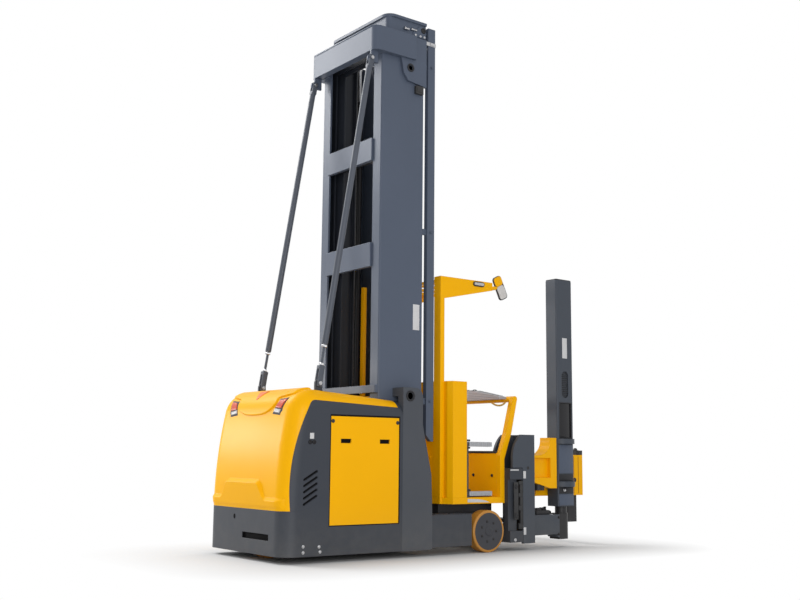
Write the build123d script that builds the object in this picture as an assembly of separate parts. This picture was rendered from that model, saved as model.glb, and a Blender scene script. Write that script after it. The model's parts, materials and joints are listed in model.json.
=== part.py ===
from build123d import *
import os

# Battery-electric man-up turret truck for very narrow aisles.
# Sizes are in millimetres. Stations (first axis) run forward from the rear face of the truck, the second
# axis runs to the left from the centre line and the third axis runs up from the floor.

# Clearances
SLIDE_GAP = 0.3         # between a sliding pad or bearing and its seat
PANEL_GAP = 4.0         # around doors and covers
STAGE_GAP = 10.0        # between nested mast stages

# Chassis hull; station 0 is its flat rear face
HALF_WIDTH = 680.0
GROUND_GAP = 60.0
SEAM_Z = 441.0          # counterweight below, yellow cowl above
CREST_STATION = 140.0   # where the leaning rear face would meet the top
CREST_Z = 1500.0
CREST_ROUND = 220.0
BODY_FRONT = 1255.0
BODY_FRONT_Z = 1416.0
HULL_EDGE_ROUND = 150.0
COUNTERWEIGHT_FRONT = 190.0
COWL_FOOT = 78.0        # stations of the cowl's side edge: at the seam, at its waist and at its upper corner
COWL_WAIST = 117.0
COWL_WAIST_RISE = 556.0
COWL_SHOULDER = 266.0
COWL_SHOULDER_Z = 1389.0
COWL_FRONT = 1208.0
COWL_FRONT_Z = 1351.0
COWL_CORNER_ROUND = 60.0
TOW_SLOT_CENTRE_Y = -215.0
TOW_SLOT_WIDTH = 457.0
TOW_SLOT_HEIGHT = 53.0
TOW_SLOT_Z = 185.0
TOW_SLOT_DEPTH = 24.0
LAMP_INSET = 260.0      # from the side of the truck to the middle of a lamp
LAMP_CENTRE_Y = HALF_WIDTH - LAMP_INSET
LAMP_WIDTH = 105.0
LAMP_HEIGHT = 115.0
LAMP_TOP_Z = 1400.0
LAMP_LOW_Z = LAMP_TOP_Z - LAMP_HEIGHT
VENT_COUNT = 5
VENT_STATION = 264.0
VENT_LOW_Z = 531.0
VENT_PITCH = 52.0
VENT_LENGTH = 165.0
VENT_HEIGHT = 22.0
VENT_DEPTH = 12.0
VENT_ANGLE = 30.0

# Battery and its doors
DOOR_REAR = 465.0
DOOR_LENGTH = 743.0
DOOR_FRONT = DOOR_REAR + DOOR_LENGTH
DOOR_LOW_Z = 313.0
DOOR_HEIGHT = 940.0
DOOR_TOP_Z = DOOR_LOW_Z + DOOR_HEIGHT
DOOR_THICK = 30.0
DOOR_SLOT_LENGTH = 110.0
DOOR_SLOT_HEIGHT = 38.0
DOOR_SLOT_DROP = 215.0  # from the door's top edge to the middle of a hand slot
DOOR_SLOT_INSET = 160.0
BATTERY_MARGIN = 25.0
BATTERY_SIDE_GAP = 80.0
BATTERY_HALF_WIDTH = HALF_WIDTH - BATTERY_SIDE_GAP
BATTERY_TOP_GAP = 133.0
BATTERY_TOP_Z = DOOR_TOP_Z - BATTERY_TOP_GAP
BATTERY_FRAME = 12.0    # how far the opening stands inside the door's edge

# Drive and steering
DRIVE_STATION = 255.0
DRIVE_RADIUS = 180.0
DRIVE_WIDTH = 140.0
DRIVE_TYRE_DEPTH = 32.0
WELL_RADIUS = 206.0
WELL_TOP_Z = 438.0
TURNTABLE_RADIUS = 140.0
TURNTABLE_THICK = 38.0
STEER_ARM_THICK = 25.0
STEER_ARM_LENGTH = 110.0
STEER_ARM_GAP = 8.0
DRIVE_AXLE_RADIUS = 26.0

# Outer mast
MAST_REAR = 1086.0
MAST_DEPTH = 518.0
MAST_FRONT = MAST_REAR + MAST_DEPTH
MAST_INSET = 168.5      # from the side of the truck to the outside of a column
MAST_HALF_WIDTH = HALF_WIDTH - MAST_INSET
MAST_WEB = 16.0
MAST_FLANGE = 20.0
MAST_REAR_FLANGE_WIDTH = 130.0
MAST_FRONT_FLANGE_WIDTH = 211.5
MAST_CORNER_ROUND = 15.0
BEAM_THICK = 40.0
BEAM_TABLE = [          # low edge and height of each rear cross beam
    (2693.0, 232.0),
    (3732.0, 222.0),
]
CROWN_TOP_Z = 5023.0
CROWN_HEIGHT = 245.0
CROWN_LOW_Z = CROWN_TOP_Z - CROWN_HEIGHT
CROWN_LIP = 23.0        # how far the crown stands above the columns
MAST_TOP_Z = CROWN_TOP_Z - CROWN_LIP
CROWN_REAR = 959.0
CROWN_DEPTH = 79.0
CROWN_WALL = 61.5
CROWN_HALF_WIDTH = MAST_HALF_WIDTH + CROWN_WALL
CROWN_FRONT = 1463.0
CROWN_ROUND = 70.0
EAR_THICK = 30.0
EAR_FRONT = 1612.0
EAR_REAR = 1300.0
EAR_TAPER = 30.0
EAR_TOE = 85.0          # from the ear's rear edge to its lower rear corner
EAR_TOE_RISE = 30.0
EAR_DROP = 248.0
EAR_LOW_Z = CROWN_LOW_Z - EAR_DROP
EAR_HOLE_STATION = 1412.0
EAR_HOLE_DROP = 85.0
EAR_HOLE_Z = CROWN_LOW_Z - EAR_HOLE_DROP
EAR_HOLE_RADIUS = 24.0
EAR_HOLE_MARGIN = 60.0

# The mast stands in a bay between the body's side wings
BAY_REAR = 1040.0
BAY_CLEARANCE = 18.5
BAY_HALF_WIDTH = MAST_HALF_WIDTH + BAY_CLEARANCE
BAY_WALL = 30.0

# Legs and load wheels
LEG_BOTTOM_Z = 75.0
LEG_HEIGHT = 295.0
LEG_TOP_Z = LEG_BOTTOM_Z + LEG_HEIGHT
LEG_REAR = MAST_FRONT
LEG_STEP_LENGTH = 484.0
LEG_STEP = LEG_REAR + LEG_STEP_LENGTH   # outer box of the leg ends here, behind the wheel
LEG_NOSE_LENGTH = 332.0
LEG_FRONT = LEG_STEP + LEG_NOSE_LENGTH
LEG_WIDTH = 210.0
LEG_INNER_Y = HALF_WIDTH - LEG_WIDTH
WHEEL_SETBACK = 114.0   # from the leg's front to the wheel's axle
WHEEL_STATION = LEG_FRONT - WHEEL_SETBACK
WHEEL_RADIUS = 200.0
WHEEL_WIDTH = 115.0
WHEEL_TYRE_DEPTH = 24.0
WHEEL_LEG_GAP = 8.0
LOAD_AXLE_RADIUS = 30.0
AXLE_CLEARANCE = 0.05

# Mast foot
BASE_PLATE_THICK = 80.0
BASE_TOP_Z = 1540.0
BASE_TOP_FRONT = 1486.0
BASE_TOP_ROUND = 85.0
BASE_LEAN = 14.0
BASE_BEND_RISE = 370.0  # from the leg's top to where the plate's front edge starts to lean back
BASE_SHOULDER_DROP = 340.0
BASE_EYE_STATION = 1337.0
BASE_EYE_DROP = 78.0
BASE_EYE_Z = BASE_TOP_Z - BASE_EYE_DROP
BASE_EYE_RADIUS = 32.5
MAST_FLOOR_TOP_Z = 130.0
COLLAR_LOW_Z = 1490.0
COLLAR_HEIGHT = 70.0

# Stays
STAY_LOW_STATION = 437.0
STAY_TOP_STATION = 956.0
STAY_INSET = 11.5
STAY_Y = MAST_HALF_WIDTH - STAY_INSET
STAY_LOW_Z = 1545.0
STAY_LUG_DROP = 84.0
STAY_TOP_Z = CROWN_LOW_Z - STAY_LUG_DROP
STAY_RADIUS = 29.0
STAY_FORK_LENGTH = 120.0
STAY_FORK_RADIUS = 32.0
STAY_BUCKLE_RADIUS = 38.0
STAY_BUCKLE_START = 130.0
STAY_BUCKLE_LENGTH = 150.0
STAY_LUG_THICK = 22.0
STAY_FOOT_HALF_LENGTH = 38.0

# Hose duct beside the right column
DUCT_REAR = 1650.0
DUCT_DEPTH = 88.0
DUCT_FRONT = DUCT_REAR + DUCT_DEPTH
DUCT_PROUD = 8.5        # how far it stands outside the column
DUCT_WIDTH = 50.0
DUCT_OUTER_Y = -MAST_HALF_WIDTH - DUCT_PROUD
DUCT_INNER_Y = DUCT_OUTER_Y + DUCT_WIDTH
DUCT_LOW_Z = 1050.0
DUCT_RISE = 147.0
DUCT_TOP_Z = CROWN_TOP_Z + DUCT_RISE
DUCT_BEVEL = 60.0
DUCT_TOP_BRACKET_DROP = 440.0
DUCT_BRACKET_Z = [1400.0, 3050.0, DUCT_TOP_Z - DUCT_TOP_BRACKET_DROP]
DUCT_BRACKET_HEIGHT = 60.0
DUCT_BRACKET_INSET = 12.0

# Middle and inner mast stages
STAGE_LOW_Z = 150.0
MIDDLE_SETBACK = 59.0   # from the outer column's rear flange to the middle rail
MIDDLE_DEPTH = 215.0
MIDDLE_WIDTH = 90.0
MIDDLE_WEB = 15.0
MIDDLE_FLANGE = 18.0
MIDDLE_CROWN_GAP = 12.0
MIDDLE_CROWN_LOW_Z = CROWN_TOP_Z + MIDDLE_CROWN_GAP
MIDDLE_CROWN_HEIGHT = 180.0
MIDDLE_CROWN_TOP_Z = MIDDLE_CROWN_LOW_Z + MIDDLE_CROWN_HEIGHT
MIDDLE_CROWN_LENGTH = 470.0
MIDDLE_CROWN_MARGIN = 12.0      # how far the crown's walls stand outside the rails
MIDDLE_CROWN_ROUND = 100.0
MIDDLE_CROWN_WALL_ROUND = 48.0
MIDDLE_CROWN_LID = 28.0
MIDDLE_CROWN_OVERHANG = 16.0
INNER_WIDTH = 180.0
INNER_WEB = 16.0
INNER_FLANGE = 16.0
INNER_WEB_INSET = 35.0  # from the inner edge of the flanges to the web
INNER_TOP_DROP = 85.0
INNER_TOP_Z = MIDDLE_CROWN_LOW_Z - INNER_TOP_DROP
TIE_HEIGHT = 160.0
TIE_TOP_MARGIN = 5.0
MIDDLE_TIE_DROP = 215.0
MIDDLE_TIE_Z = [1300.0, 2729.0, 3763.0, MIDDLE_CROWN_LOW_Z - MIDDLE_TIE_DROP]
INNER_TIE_Z = [1300.0, 2729.0, 3763.0, INNER_TOP_Z - TIE_HEIGHT - TIE_TOP_MARGIN]
GUIDE_LENGTH = 220.0
CHAIN_GAP = 14.0        # between a chain and the rails behind it
CHAIN_DEPTH = 26.0
CHAIN_WIDTH = 14.0
CHAIN_LOW_Z = 320.0

# Derived places of the nested stages, from the outer mast inwards
MIDDLE_OUTER_Y = MAST_HALF_WIDTH - MAST_WEB - STAGE_GAP
MIDDLE_REAR = MAST_REAR + MAST_FLANGE + MIDDLE_SETBACK
MIDDLE_FRONT = MIDDLE_REAR + MIDDLE_DEPTH
INNER_OUTER_Y = MIDDLE_OUTER_Y - MIDDLE_WEB - STAGE_GAP
INNER_REAR = MIDDLE_REAR + MIDDLE_FLANGE + STAGE_GAP
INNER_FRONT = MIDDLE_FRONT - MIDDLE_FLANGE - STAGE_GAP
INNER_WEB_Y = INNER_OUTER_Y - INNER_WIDTH + INNER_WEB_INSET
CHAIN_STATION = MIDDLE_FRONT + CHAIN_GAP + CHAIN_DEPTH / 2
CHAIN_Y = MIDDLE_OUTER_Y - MIDDLE_WIDTH - CHAIN_GAP

# Lift cylinders, in front of the middle rails
CYLINDER_GAP = 63.0
CYLINDER_RADIUS = 42.0
CYLINDER_STATION = MIDDLE_FRONT + CYLINDER_GAP + CYLINDER_RADIUS
CYLINDER_INSET = 69.5
CYLINDER_Y = MAST_HALF_WIDTH - CYLINDER_INSET
CYLINDER_BORE = 33.0
CYLINDER_DROP = 178.0
CYLINDER_TOP_Z = CROWN_LOW_Z - CYLINDER_DROP
ROD_RADIUS = 30.0
ROD_LOW_Z = 1300.0

# Cab
CAB_REAR = 1840.0
CAB_LENGTH = 747.0
CAB_FRONT = CAB_REAR + CAB_LENGTH
CAB_INSET = 80.0        # from the side of the truck to the side of the cab
CAB_HALF_WIDTH = HALF_WIDTH - CAB_INSET
CAB_CORNER_WIDTH = 100.0
CAB_BACK_HALF_WIDTH = CAB_HALF_WIDTH - CAB_CORNER_WIDTH
CAB_CORNER_START = 25.0         # from the cab's rear to where its corner starts and ends
CAB_CORNER_END = 80.0
CAB_FLOOR_LOW_Z = 460.0
CAB_FLOOR_THICK = 60.0
CAB_FLOOR_Z = CAB_FLOOR_LOW_Z + CAB_FLOOR_THICK
CAB_WALL = 40.0
CAB_FRONT_WALL = 57.0
CAB_FRONT_WALL_HEIGHT = 430.0
CONSOLE_TOP_Z = CAB_FLOOR_Z + CAB_FRONT_WALL_HEIGHT
ENTRY_SETBACK = 256.0
ENTRY_REAR = CAB_REAR + ENTRY_SETBACK
QUARTER_HEIGHT = 1115.0
QUARTER_TOP_Z = CAB_FLOOR_Z + QUARTER_HEIGHT
UNDERFRAME_HEIGHT = 130.0
UNDERFRAME_GAP = 30.0   # beside the legs
UNDERFRAME_BEAM = 60.0
UNDERFRAME_INSET = 30.0
FRONT_RAIL_REACH = 148.0
FRONT_RAIL_STATION = CAB_FRONT + FRONT_RAIL_REACH
FRONT_RAIL_Z = 1490.0
FRONT_RAIL_RADIUS = 30.0
FRONT_POST_WIDTH = 55.0
FRONT_POST_DEPTH = 70.0
FRONT_POST_LEAN_DROP = 60.0     # below the front wall's top, where the posts start to lean
FRONT_POST_KNEE_REACH = 97.0
FRONT_POST_KNEE_DROP = 340.0
POST_DEPTH = 50.0
POST_WIDTH = 100.0
GUARD_TOP_Z = 2670.0
GUARD_REAR_DEPTH = 219.0
GUARD_FRONT_DEPTH = 80.0
GUARD_LENGTH = 685.0
GUARD_FRONT = CAB_REAR + GUARD_LENGTH
GUARD_ARM_WIDTH = 30.0
ROOF_THICK = 25.0
ROOF_BAR_COUNT = 5
ROOF_BAR_WIDTH = 45.0
MIRROR_HEIGHT = 240.0
MIRROR_WIDTH = 95.0
MIRROR_THICK = 22.0
MIRROR_TILT = 22.0
MIRROR_REACH = 115.0
BACKREST_THICK = 70.0
BACKREST_HALF_WIDTH = 260.0
BACKREST_LOW_Z = 1050.0
BACKREST_HEIGHT = 510.0
CONSOLE_DEPTH = 130.0
CONSOLE_GAP = 45.0      # between the desk's ends and the front posts
CONSOLE_RISE = 100.0
CONSOLE_EDGE = 22.0
CONSOLE_TOP_HALF_WIDTH = 90.0
CARRIAGE_LOW_Z = 520.0
CARRIAGE_HEIGHT = 980.0
CARRIAGE_TOP_Z = CARRIAGE_LOW_Z + CARRIAGE_HEIGHT
CARRIAGE_RAIL_GAP = 8.0
CARRIAGE_HALF_WIDTH = INNER_OUTER_Y - INNER_WIDTH - CARRIAGE_RAIL_GAP
CARRIAGE_PLATE = 40.0
CARRIAGE_BAR_HEIGHT = 140.0
CARRIAGE_UPRIGHT_GAP = 50.0
CARRIAGE_UPRIGHT_DEPTH = 40.0
CARRIAGE_UPRIGHT_HEIGHT = 1100.0

# Gates at the two cab entries
GATE_LENGTH = 313.0
GATE_POST_RADIUS = 14.0
GATE_INSET = 22.0
GATE_POST_Y = CAB_HALF_WIDTH - GATE_INSET
GATE_BAR_HEIGHT = 42.0
GATE_BAR_THICK = 22.0
GATE_BAR_Z = [535.0, 1010.0]
GATE_ENTRY_GAP = 8.0

# Traverse frame and shift carriage
FRAME_REAR = CAB_FRONT
FRAME_DEPTH = 173.0
FRAME_FRONT = FRAME_REAR + FRAME_DEPTH
FRAME_LOW_Z = 80.0
FRAME_HEIGHT = 720.0
FRAME_TOP_Z = FRAME_LOW_Z + FRAME_HEIGHT
FRAME_RAIL_HEIGHT = 110.0
FRAME_POST_WIDTH = 60.0
FRAME_POST_DEPTH = 115.0
SHIFT_GAP = 5.0
SHIFT_DEPTH = 160.0
SHIFT_REAR = FRAME_FRONT + SHIFT_GAP
SHIFT_FRONT = SHIFT_REAR + SHIFT_DEPTH
SHIFT_LOW_Z = 65.0
SHIFT_HEIGHT = 1068.0
SHIFT_TOP_Z = SHIFT_LOW_Z + SHIFT_HEIGHT
SHIFT_WIDTH = 300.0
SHIFT_PLATE = 30.0
SHIFT_HOOK_REACH = 140.0        # how far the hook reaches back over the upper rail
SHIFT_HOOK_REAR = SHIFT_REAR - SHIFT_HOOK_REACH
SHIFT_HOOK_SWEEP = 115.0
SHIFT_HOOK_STRAIGHT = 95.0
SHIFT_PAD_HEIGHT = 80.0

# Turret: arms, slew drive, column
ARM_LENGTH = 522.0
TURRET_STATION = SHIFT_FRONT + ARM_LENGTH
TURRET_INSET = 150.0
TURRET_Y = -HALF_WIDTH + TURRET_INSET
ARM_WIDTH = 150.0
LOWER_ARM_LOW_Z = 130.0
LOWER_ARM_HEIGHT = 200.0
LOWER_ARM_TOP_Z = LOWER_ARM_LOW_Z + LOWER_ARM_HEIGHT
LOWER_ARM_SETBACK = 97.0        # from the turret's axis to the end of the lower arm
LOWER_ARM_FLANGE = 24.0
LOWER_ARM_FLANGE_DROP = 30.0
SLEW_RADIUS = 70.0
SLEW_LOW_Z = 79.0
SLEW_HEIGHT = 261.0
SLEW_SHOULDER_Z = SLEW_LOW_Z + SLEW_HEIGHT
SLEW_NECK_RADIUS = 62.0
COLUMN_LOW_Z = 410.0
COLUMN_HEIGHT = 2375.0
COLUMN_TOP_Z = COLUMN_LOW_Z + COLUMN_HEIGHT
COLUMN_DEPTH = 236.0
COLUMN_WIDTH = 162.0
COLUMN_CORNER_ROUND = 16.0
COLUMN_DOME = 18.0
COLUMN_WINDOW_LENGTH = 180.0    # dark recess in the column's right face
COLUMN_WINDOW_HEIGHT = 374.0
COLUMN_WINDOW_RISE = 696.0
COLUMN_WINDOW_DEPTH = 25.0
COLUMN_SLOT_LENGTH = 98.0       # rounded recess above it
COLUMN_SLOT_HEIGHT = 279.0
COLUMN_SLOT_RISE = 1119.0
COLUMN_SLOT_DEPTH = 14.0
JOURNAL_RADIUS = 150.0
JOURNAL_HEIGHT = 52.0
JOURNAL_RISE = [200.0, 640.0]   # above the column's lower end
UPPER_ARM_LOW_Z = 675.0
UPPER_ARM_HEIGHT = 255.0
UPPER_ARM_TOP_Z = UPPER_ARM_LOW_Z + UPPER_ARM_HEIGHT
UPPER_ARM_SWEEP = 155.0
UPPER_ARM_POCKET_DEPTH = 45.0
UPPER_ARM_POCKET_MARGIN = 28.0
UPPER_PLATE_LOW_Z = 595.0
UPPER_PLATE_HEIGHT = 515.0
UPPER_PLATE_TOP_Z = UPPER_PLATE_LOW_Z + UPPER_PLATE_HEIGHT
UPPER_PLATE_THICK = 70.0
UPPER_PLATE_BROW = 25.0
DRUM_RADIUS = 66.0
DRUM_HEIGHT = 100.0

# Fork carriage and forks
FORK_FRAME_HALF_LENGTH = 420.0
FORK_FRAME_THICK = 78.0
FORK_FRAME_LOW_Z = 513.0
FORK_FRAME_HEIGHT = 424.0
FORK_FRAME_TOP_Z = FORK_FRAME_LOW_Z + FORK_FRAME_HEIGHT
FORK_FRAME_BAR = 110.0
FORK_CAP_HEIGHT = 48.0
FORK_CAP_WIDTH = 90.0
FORK_GUIDE_WIDTH = 150.0
FORK_INSET = 17.0       # from the carriage's end to the outer side of a fork
FORK_WIDTH = 130.0
FORK_CENTRE = FORK_FRAME_HALF_LENGTH - FORK_INSET - FORK_WIDTH / 2
FORK_THICK = 40.0
FORK_LENGTH = 1000.0
FORK_LOW_Z = 230.0
FORK_TIP_THICK = 14.0
FORK_TIP_TAPER = 420.0
FORK_TIP_ROUND = 40.0

# The part's origin is at the middle of the truck's length, on the floor.
OVERALL_LENGTH = TURRET_STATION + FORK_FRAME_HALF_LENGTH
RIGHT_AND_LEFT = (-1, 1)


def block(x0, x1, y0, y1, z0, z1):
    """Box between two corners."""
    return Pos((x0 + x1) / 2, (y0 + y1) / 2, (z0 + z1) / 2) * Box(x1 - x0, y1 - y0, z1 - z0)


def sided(side, x0, x1, y0, y1, z0, z1):
    """Box on the left (side 1) or right (side -1), with y0 < y1 counted outwards."""
    low, high = sorted((side * y0, side * y1))
    return block(x0, x1, low, high, z0, z1)


def rod(x, y, z0, z1, radius):
    """Upright round bar."""
    return Pos(x, y, (z0 + z1) / 2) * Cylinder(radius, z1 - z0)


def cross_rod(x, z, y0, y1, radius):
    """Round bar along the truck's width."""
    return Pos(x, (y0 + y1) / 2, z) * Rot(90, 0, 0) * Cylinder(radius, y1 - y0)


def side_face(outline, y0, y1):
    """Extrude a face drawn in side view (station, z) between two widths."""
    plane = Plane(origin=(0, y1, 0), x_dir=(1, 0, 0), z_dir=(0, -1, 0))
    return extrude(plane * outline, y1 - y0)


def side_prism(points, y0, y1):
    """Extrude a polygon of (station, z) points between two widths."""
    return side_face(make_face(Polyline(*points, close=True)), y0, y1)


def plan_prism(points, z0, z1):
    """Extrude a polygon of (station, y) points between two heights."""
    return Pos(0, 0, z0) * extrude(make_face(Polyline(*points, close=True)), z1 - z0)


def nearest(shapes, x, y):
    """Vertex of a flat sketch that lies nearest to a point."""
    return min(shapes, key=lambda vertex: (vertex.X - x) ** 2 + (vertex.Y - y) ** 2)


def hull():
    """Whole outer form of the chassis: flat sides, leaning rear face and rounded upper edges."""
    foot = (0, GROUND_GAP)
    seam = (0, SEAM_Z)
    crest = (CREST_STATION, CREST_Z)
    nose = (BODY_FRONT, BODY_FRONT_Z)
    toe = (BODY_FRONT, GROUND_GAP)
    rear = [Line(foot, seam), TangentArc(seam, crest, tangent=(0, 1))]
    outline = make_face([*rear, Line(crest, nose), Line(nose, toe), Line(toe, foot)])
    outline = fillet(nearest(outline.vertices(), *crest), CREST_ROUND)
    solid = side_face(outline, -HALF_WIDTH, HALF_WIDTH)
    rims = [
        edge
        for edge in solid.edges()
        if abs(abs(edge.center().Y) - HALF_WIDTH) < 1
        and edge.center().X < BODY_FRONT - 1
        and edge.center().Z > GROUND_GAP + 1
    ]
    return fillet(rims, HULL_EDGE_ROUND)


def cowl_region():
    """The rear and top of the hull, in side view, that the yellow cowl covers; its side edge is a long bow."""
    far = 3 * HALF_WIDTH
    foot = (COWL_FOOT, SEAM_Z)
    shoulder = (COWL_SHOULDER, COWL_SHOULDER_Z)
    bow = ThreePointArc(foot, (COWL_WAIST, SEAM_Z + COWL_WAIST_RISE), shoulder)
    rest = Polyline(
        shoulder,
        (COWL_FRONT, COWL_FRONT_Z),
        (COWL_FRONT, far),
        (-far, far),
        (-far, SEAM_Z),
        foot,
    )
    outline = make_face([bow, *rest.edges()])
    outline = fillet(nearest(outline.vertices(), *shoulder), COWL_CORNER_ROUND)
    return side_face(outline, -far, far)


def lamp_windows():
    """Two upright windows in the cowl's rear for the tail lamps."""
    return [
        sided(
            side,
            -HALF_WIDTH,
            COWL_SHOULDER,
            LAMP_CENTRE_Y - LAMP_WIDTH / 2,
            LAMP_CENTRE_Y + LAMP_WIDTH / 2,
            LAMP_LOW_Z,
            LAMP_TOP_Z,
        )
        for side in RIGHT_AND_LEFT
    ]


def stay_notches(gap):
    """Slots through the cowl where the feet of the stays come up."""
    half = STAY_LUG_THICK / 2 + gap
    reach = STAY_FOOT_HALF_LENGTH + gap
    return [
        sided(
            side,
            STAY_LOW_STATION - reach,
            STAY_LOW_STATION + reach,
            STAY_Y - half,
            STAY_Y + half,
            GROUND_GAP,
            2 * CREST_Z,
        )
        for side in RIGHT_AND_LEFT
    ]


def vents():
    """Slanting vent recesses in both sides of the chassis, behind the doors."""
    recesses = []
    for index in range(VENT_COUNT):
        z = VENT_LOW_Z + index * VENT_PITCH
        outline = Pos(VENT_STATION, z) * SlotOverall(VENT_LENGTH, VENT_HEIGHT, VENT_ANGLE)
        recesses.append(side_face(outline, HALF_WIDTH - VENT_DEPTH, HALF_WIDTH))
        recesses.append(side_face(outline, -HALF_WIDTH, -HALF_WIDTH + VENT_DEPTH))
    return recesses


def chassis_panels():
    """Counterweight, cowl, lamps and body shell, all cut from one hull so that their skins are flush."""
    whole = hull()
    region = cowl_region()
    cowl = whole & region
    lamps = [cowl & window for window in lamp_windows()]
    for window in lamp_windows():
        cowl -= window
    for notch in stay_notches(PANEL_GAP):
        cowl -= notch

    well = rod(DRIVE_STATION, 0, 0, WELL_TOP_Z, WELL_RADIUS)
    below = block(0, COUNTERWEIGHT_FRONT, -HALF_WIDTH, HALF_WIDTH, 0, SEAM_Z)
    slot = block(
        0,
        TOW_SLOT_DEPTH,
        TOW_SLOT_CENTRE_Y - TOW_SLOT_WIDTH / 2,
        TOW_SLOT_CENTRE_Y + TOW_SLOT_WIDTH / 2,
        TOW_SLOT_Z,
        TOW_SLOT_Z + TOW_SLOT_HEIGHT,
    )
    counterweight = (whole & below) - well - slot

    bay = block(BAY_REAR, BODY_FRONT, -BAY_HALF_WIDTH, BAY_HALF_WIDTH, 0, 2 * CREST_Z)
    cowl -= bay
    shell = whole - region - below - well - bay
    tunnel = block(
        DOOR_REAR + BATTERY_FRAME,
        DOOR_FRONT - BATTERY_FRAME,
        -HALF_WIDTH,
        HALF_WIDTH,
        DOOR_LOW_Z + BATTERY_FRAME,
        DOOR_TOP_Z - BATTERY_FRAME,
    )
    bulkhead_half = BAY_HALF_WIDTH + BAY_WALL
    tunnel -= block(BAY_REAR - BAY_WALL, BODY_FRONT, -bulkhead_half, bulkhead_half, 0, DOOR_TOP_Z)
    shell -= tunnel
    for side in RIGHT_AND_LEFT:
        shell -= sided(
            side,
            DOOR_REAR - PANEL_GAP,
            DOOR_FRONT + PANEL_GAP,
            HALF_WIDTH - DOOR_THICK - SLIDE_GAP,
            HALF_WIDTH,
            DOOR_LOW_Z - SLIDE_GAP,
            DOOR_TOP_Z + PANEL_GAP,
        )
    for recess in vents():
        shell -= recess
    for foot in stay_feet():
        shell += foot
    return {"counterweight": counterweight, "rear_cowl": cowl, "tail_lamps": lamps, "body_shell": shell}


def stay_feet():
    """Plates that stand up from the shell through the cowl and carry the lower ends of the stays."""
    half = STAY_LUG_THICK / 2
    low = COWL_SHOULDER_Z - STAY_FORK_LENGTH
    feet = []
    for side in RIGHT_AND_LEFT:
        plate = sided(
            side,
            STAY_LOW_STATION - STAY_FOOT_HALF_LENGTH,
            STAY_LOW_STATION + STAY_FOOT_HALF_LENGTH,
            STAY_Y - half,
            STAY_Y + half,
            low,
            STAY_LOW_Z,
        )
        y0, y1 = sorted((side * (STAY_Y - half), side * (STAY_Y + half)))
        feet.append(plate + cross_rod(STAY_LOW_STATION, STAY_LOW_Z, y0, y1, STAY_FOOT_HALF_LENGTH))
    return feet


def stay(side):
    """One slanting stay: a tube with a forked end at the top and a turnbuckle and fork at the bottom."""
    start = Vector(STAY_LOW_STATION, side * STAY_Y, STAY_LOW_Z)
    end = Vector(STAY_TOP_STATION, side * STAY_Y, STAY_TOP_Z)
    along = (end - start).normalized()
    length = (end - start).length

    def piece(first, last, outline):
        plane = Plane(origin=start + along * first, x_dir=(0, 1, 0), z_dir=along)
        return extrude(plane * outline, last - first)

    eye = STAY_FOOT_HALF_LENGTH
    bar = piece(STAY_FORK_LENGTH / 2, length - STAY_FORK_LENGTH / 2, Circle(STAY_RADIUS))
    buckle = RegularPolygon(STAY_BUCKLE_RADIUS, 6)
    bar += piece(STAY_BUCKLE_START, STAY_BUCKLE_START + STAY_BUCKLE_LENGTH, buckle)
    cheeks = Rectangle(2 * STAY_FORK_RADIUS + STAY_LUG_THICK, 2 * STAY_FORK_RADIUS)
    cheeks -= Rectangle(STAY_LUG_THICK, 4 * STAY_FORK_RADIUS)
    yoke = Rectangle(2 * STAY_FORK_RADIUS + STAY_LUG_THICK, 2 * STAY_FORK_RADIUS)
    bar += piece(-STAY_FORK_RADIUS, eye + STAY_LUG_THICK, cheeks)
    bar += piece(eye + STAY_LUG_THICK / 2, STAY_FORK_LENGTH, yoke)
    bar += piece(length - eye - STAY_LUG_THICK, length + STAY_FORK_RADIUS, cheeks)
    bar += piece(length - STAY_FORK_LENGTH, length - eye - STAY_LUG_THICK / 2, yoke)
    return bar


def battery():
    """Traction battery, one plain block on the floor of its bay."""
    return block(
        DOOR_REAR + BATTERY_MARGIN,
        BAY_REAR - BAY_WALL - PANEL_GAP,
        -BATTERY_HALF_WIDTH,
        BATTERY_HALF_WIDTH,
        DOOR_LOW_Z + BATTERY_FRAME,
        BATTERY_TOP_Z,
    )


def battery_door(side):
    """Side door over the battery, with two hand slots; it swings down about its lower outer edge."""
    door = sided(side, DOOR_REAR, DOOR_FRONT, HALF_WIDTH - DOOR_THICK, HALF_WIDTH, DOOR_LOW_Z, DOOR_TOP_Z)
    slot_z = DOOR_TOP_Z - DOOR_SLOT_DROP
    for centre in (DOOR_REAR + DOOR_SLOT_INSET, DOOR_FRONT - DOOR_SLOT_INSET):
        door -= sided(
            side,
            centre - DOOR_SLOT_LENGTH / 2,
            centre + DOOR_SLOT_LENGTH / 2,
            HALF_WIDTH - DOOR_THICK / 2,
            HALF_WIDTH,
            slot_z - DOOR_SLOT_HEIGHT / 2,
            slot_z + DOOR_SLOT_HEIGHT / 2,
        )
    return door


def steer_fork():
    """Turntable under the chassis with two arms and the drive wheel's axle."""
    top = WELL_TOP_Z - SLIDE_GAP
    unit = rod(DRIVE_STATION, 0, top - TURNTABLE_THICK, top, TURNTABLE_RADIUS)
    arm_inner = DRIVE_WIDTH / 2 + STEER_ARM_GAP
    for side in RIGHT_AND_LEFT:
        unit += sided(
            side,
            DRIVE_STATION - STEER_ARM_LENGTH / 2,
            DRIVE_STATION + STEER_ARM_LENGTH / 2,
            arm_inner,
            arm_inner + STEER_ARM_THICK,
            DRIVE_RADIUS - STEER_ARM_LENGTH / 2,
            top - TURNTABLE_THICK,
        )
    reach = arm_inner + STEER_ARM_THICK
    unit += cross_rod(DRIVE_STATION, DRIVE_RADIUS, -reach, reach, DRIVE_AXLE_RADIUS)
    return unit


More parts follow.
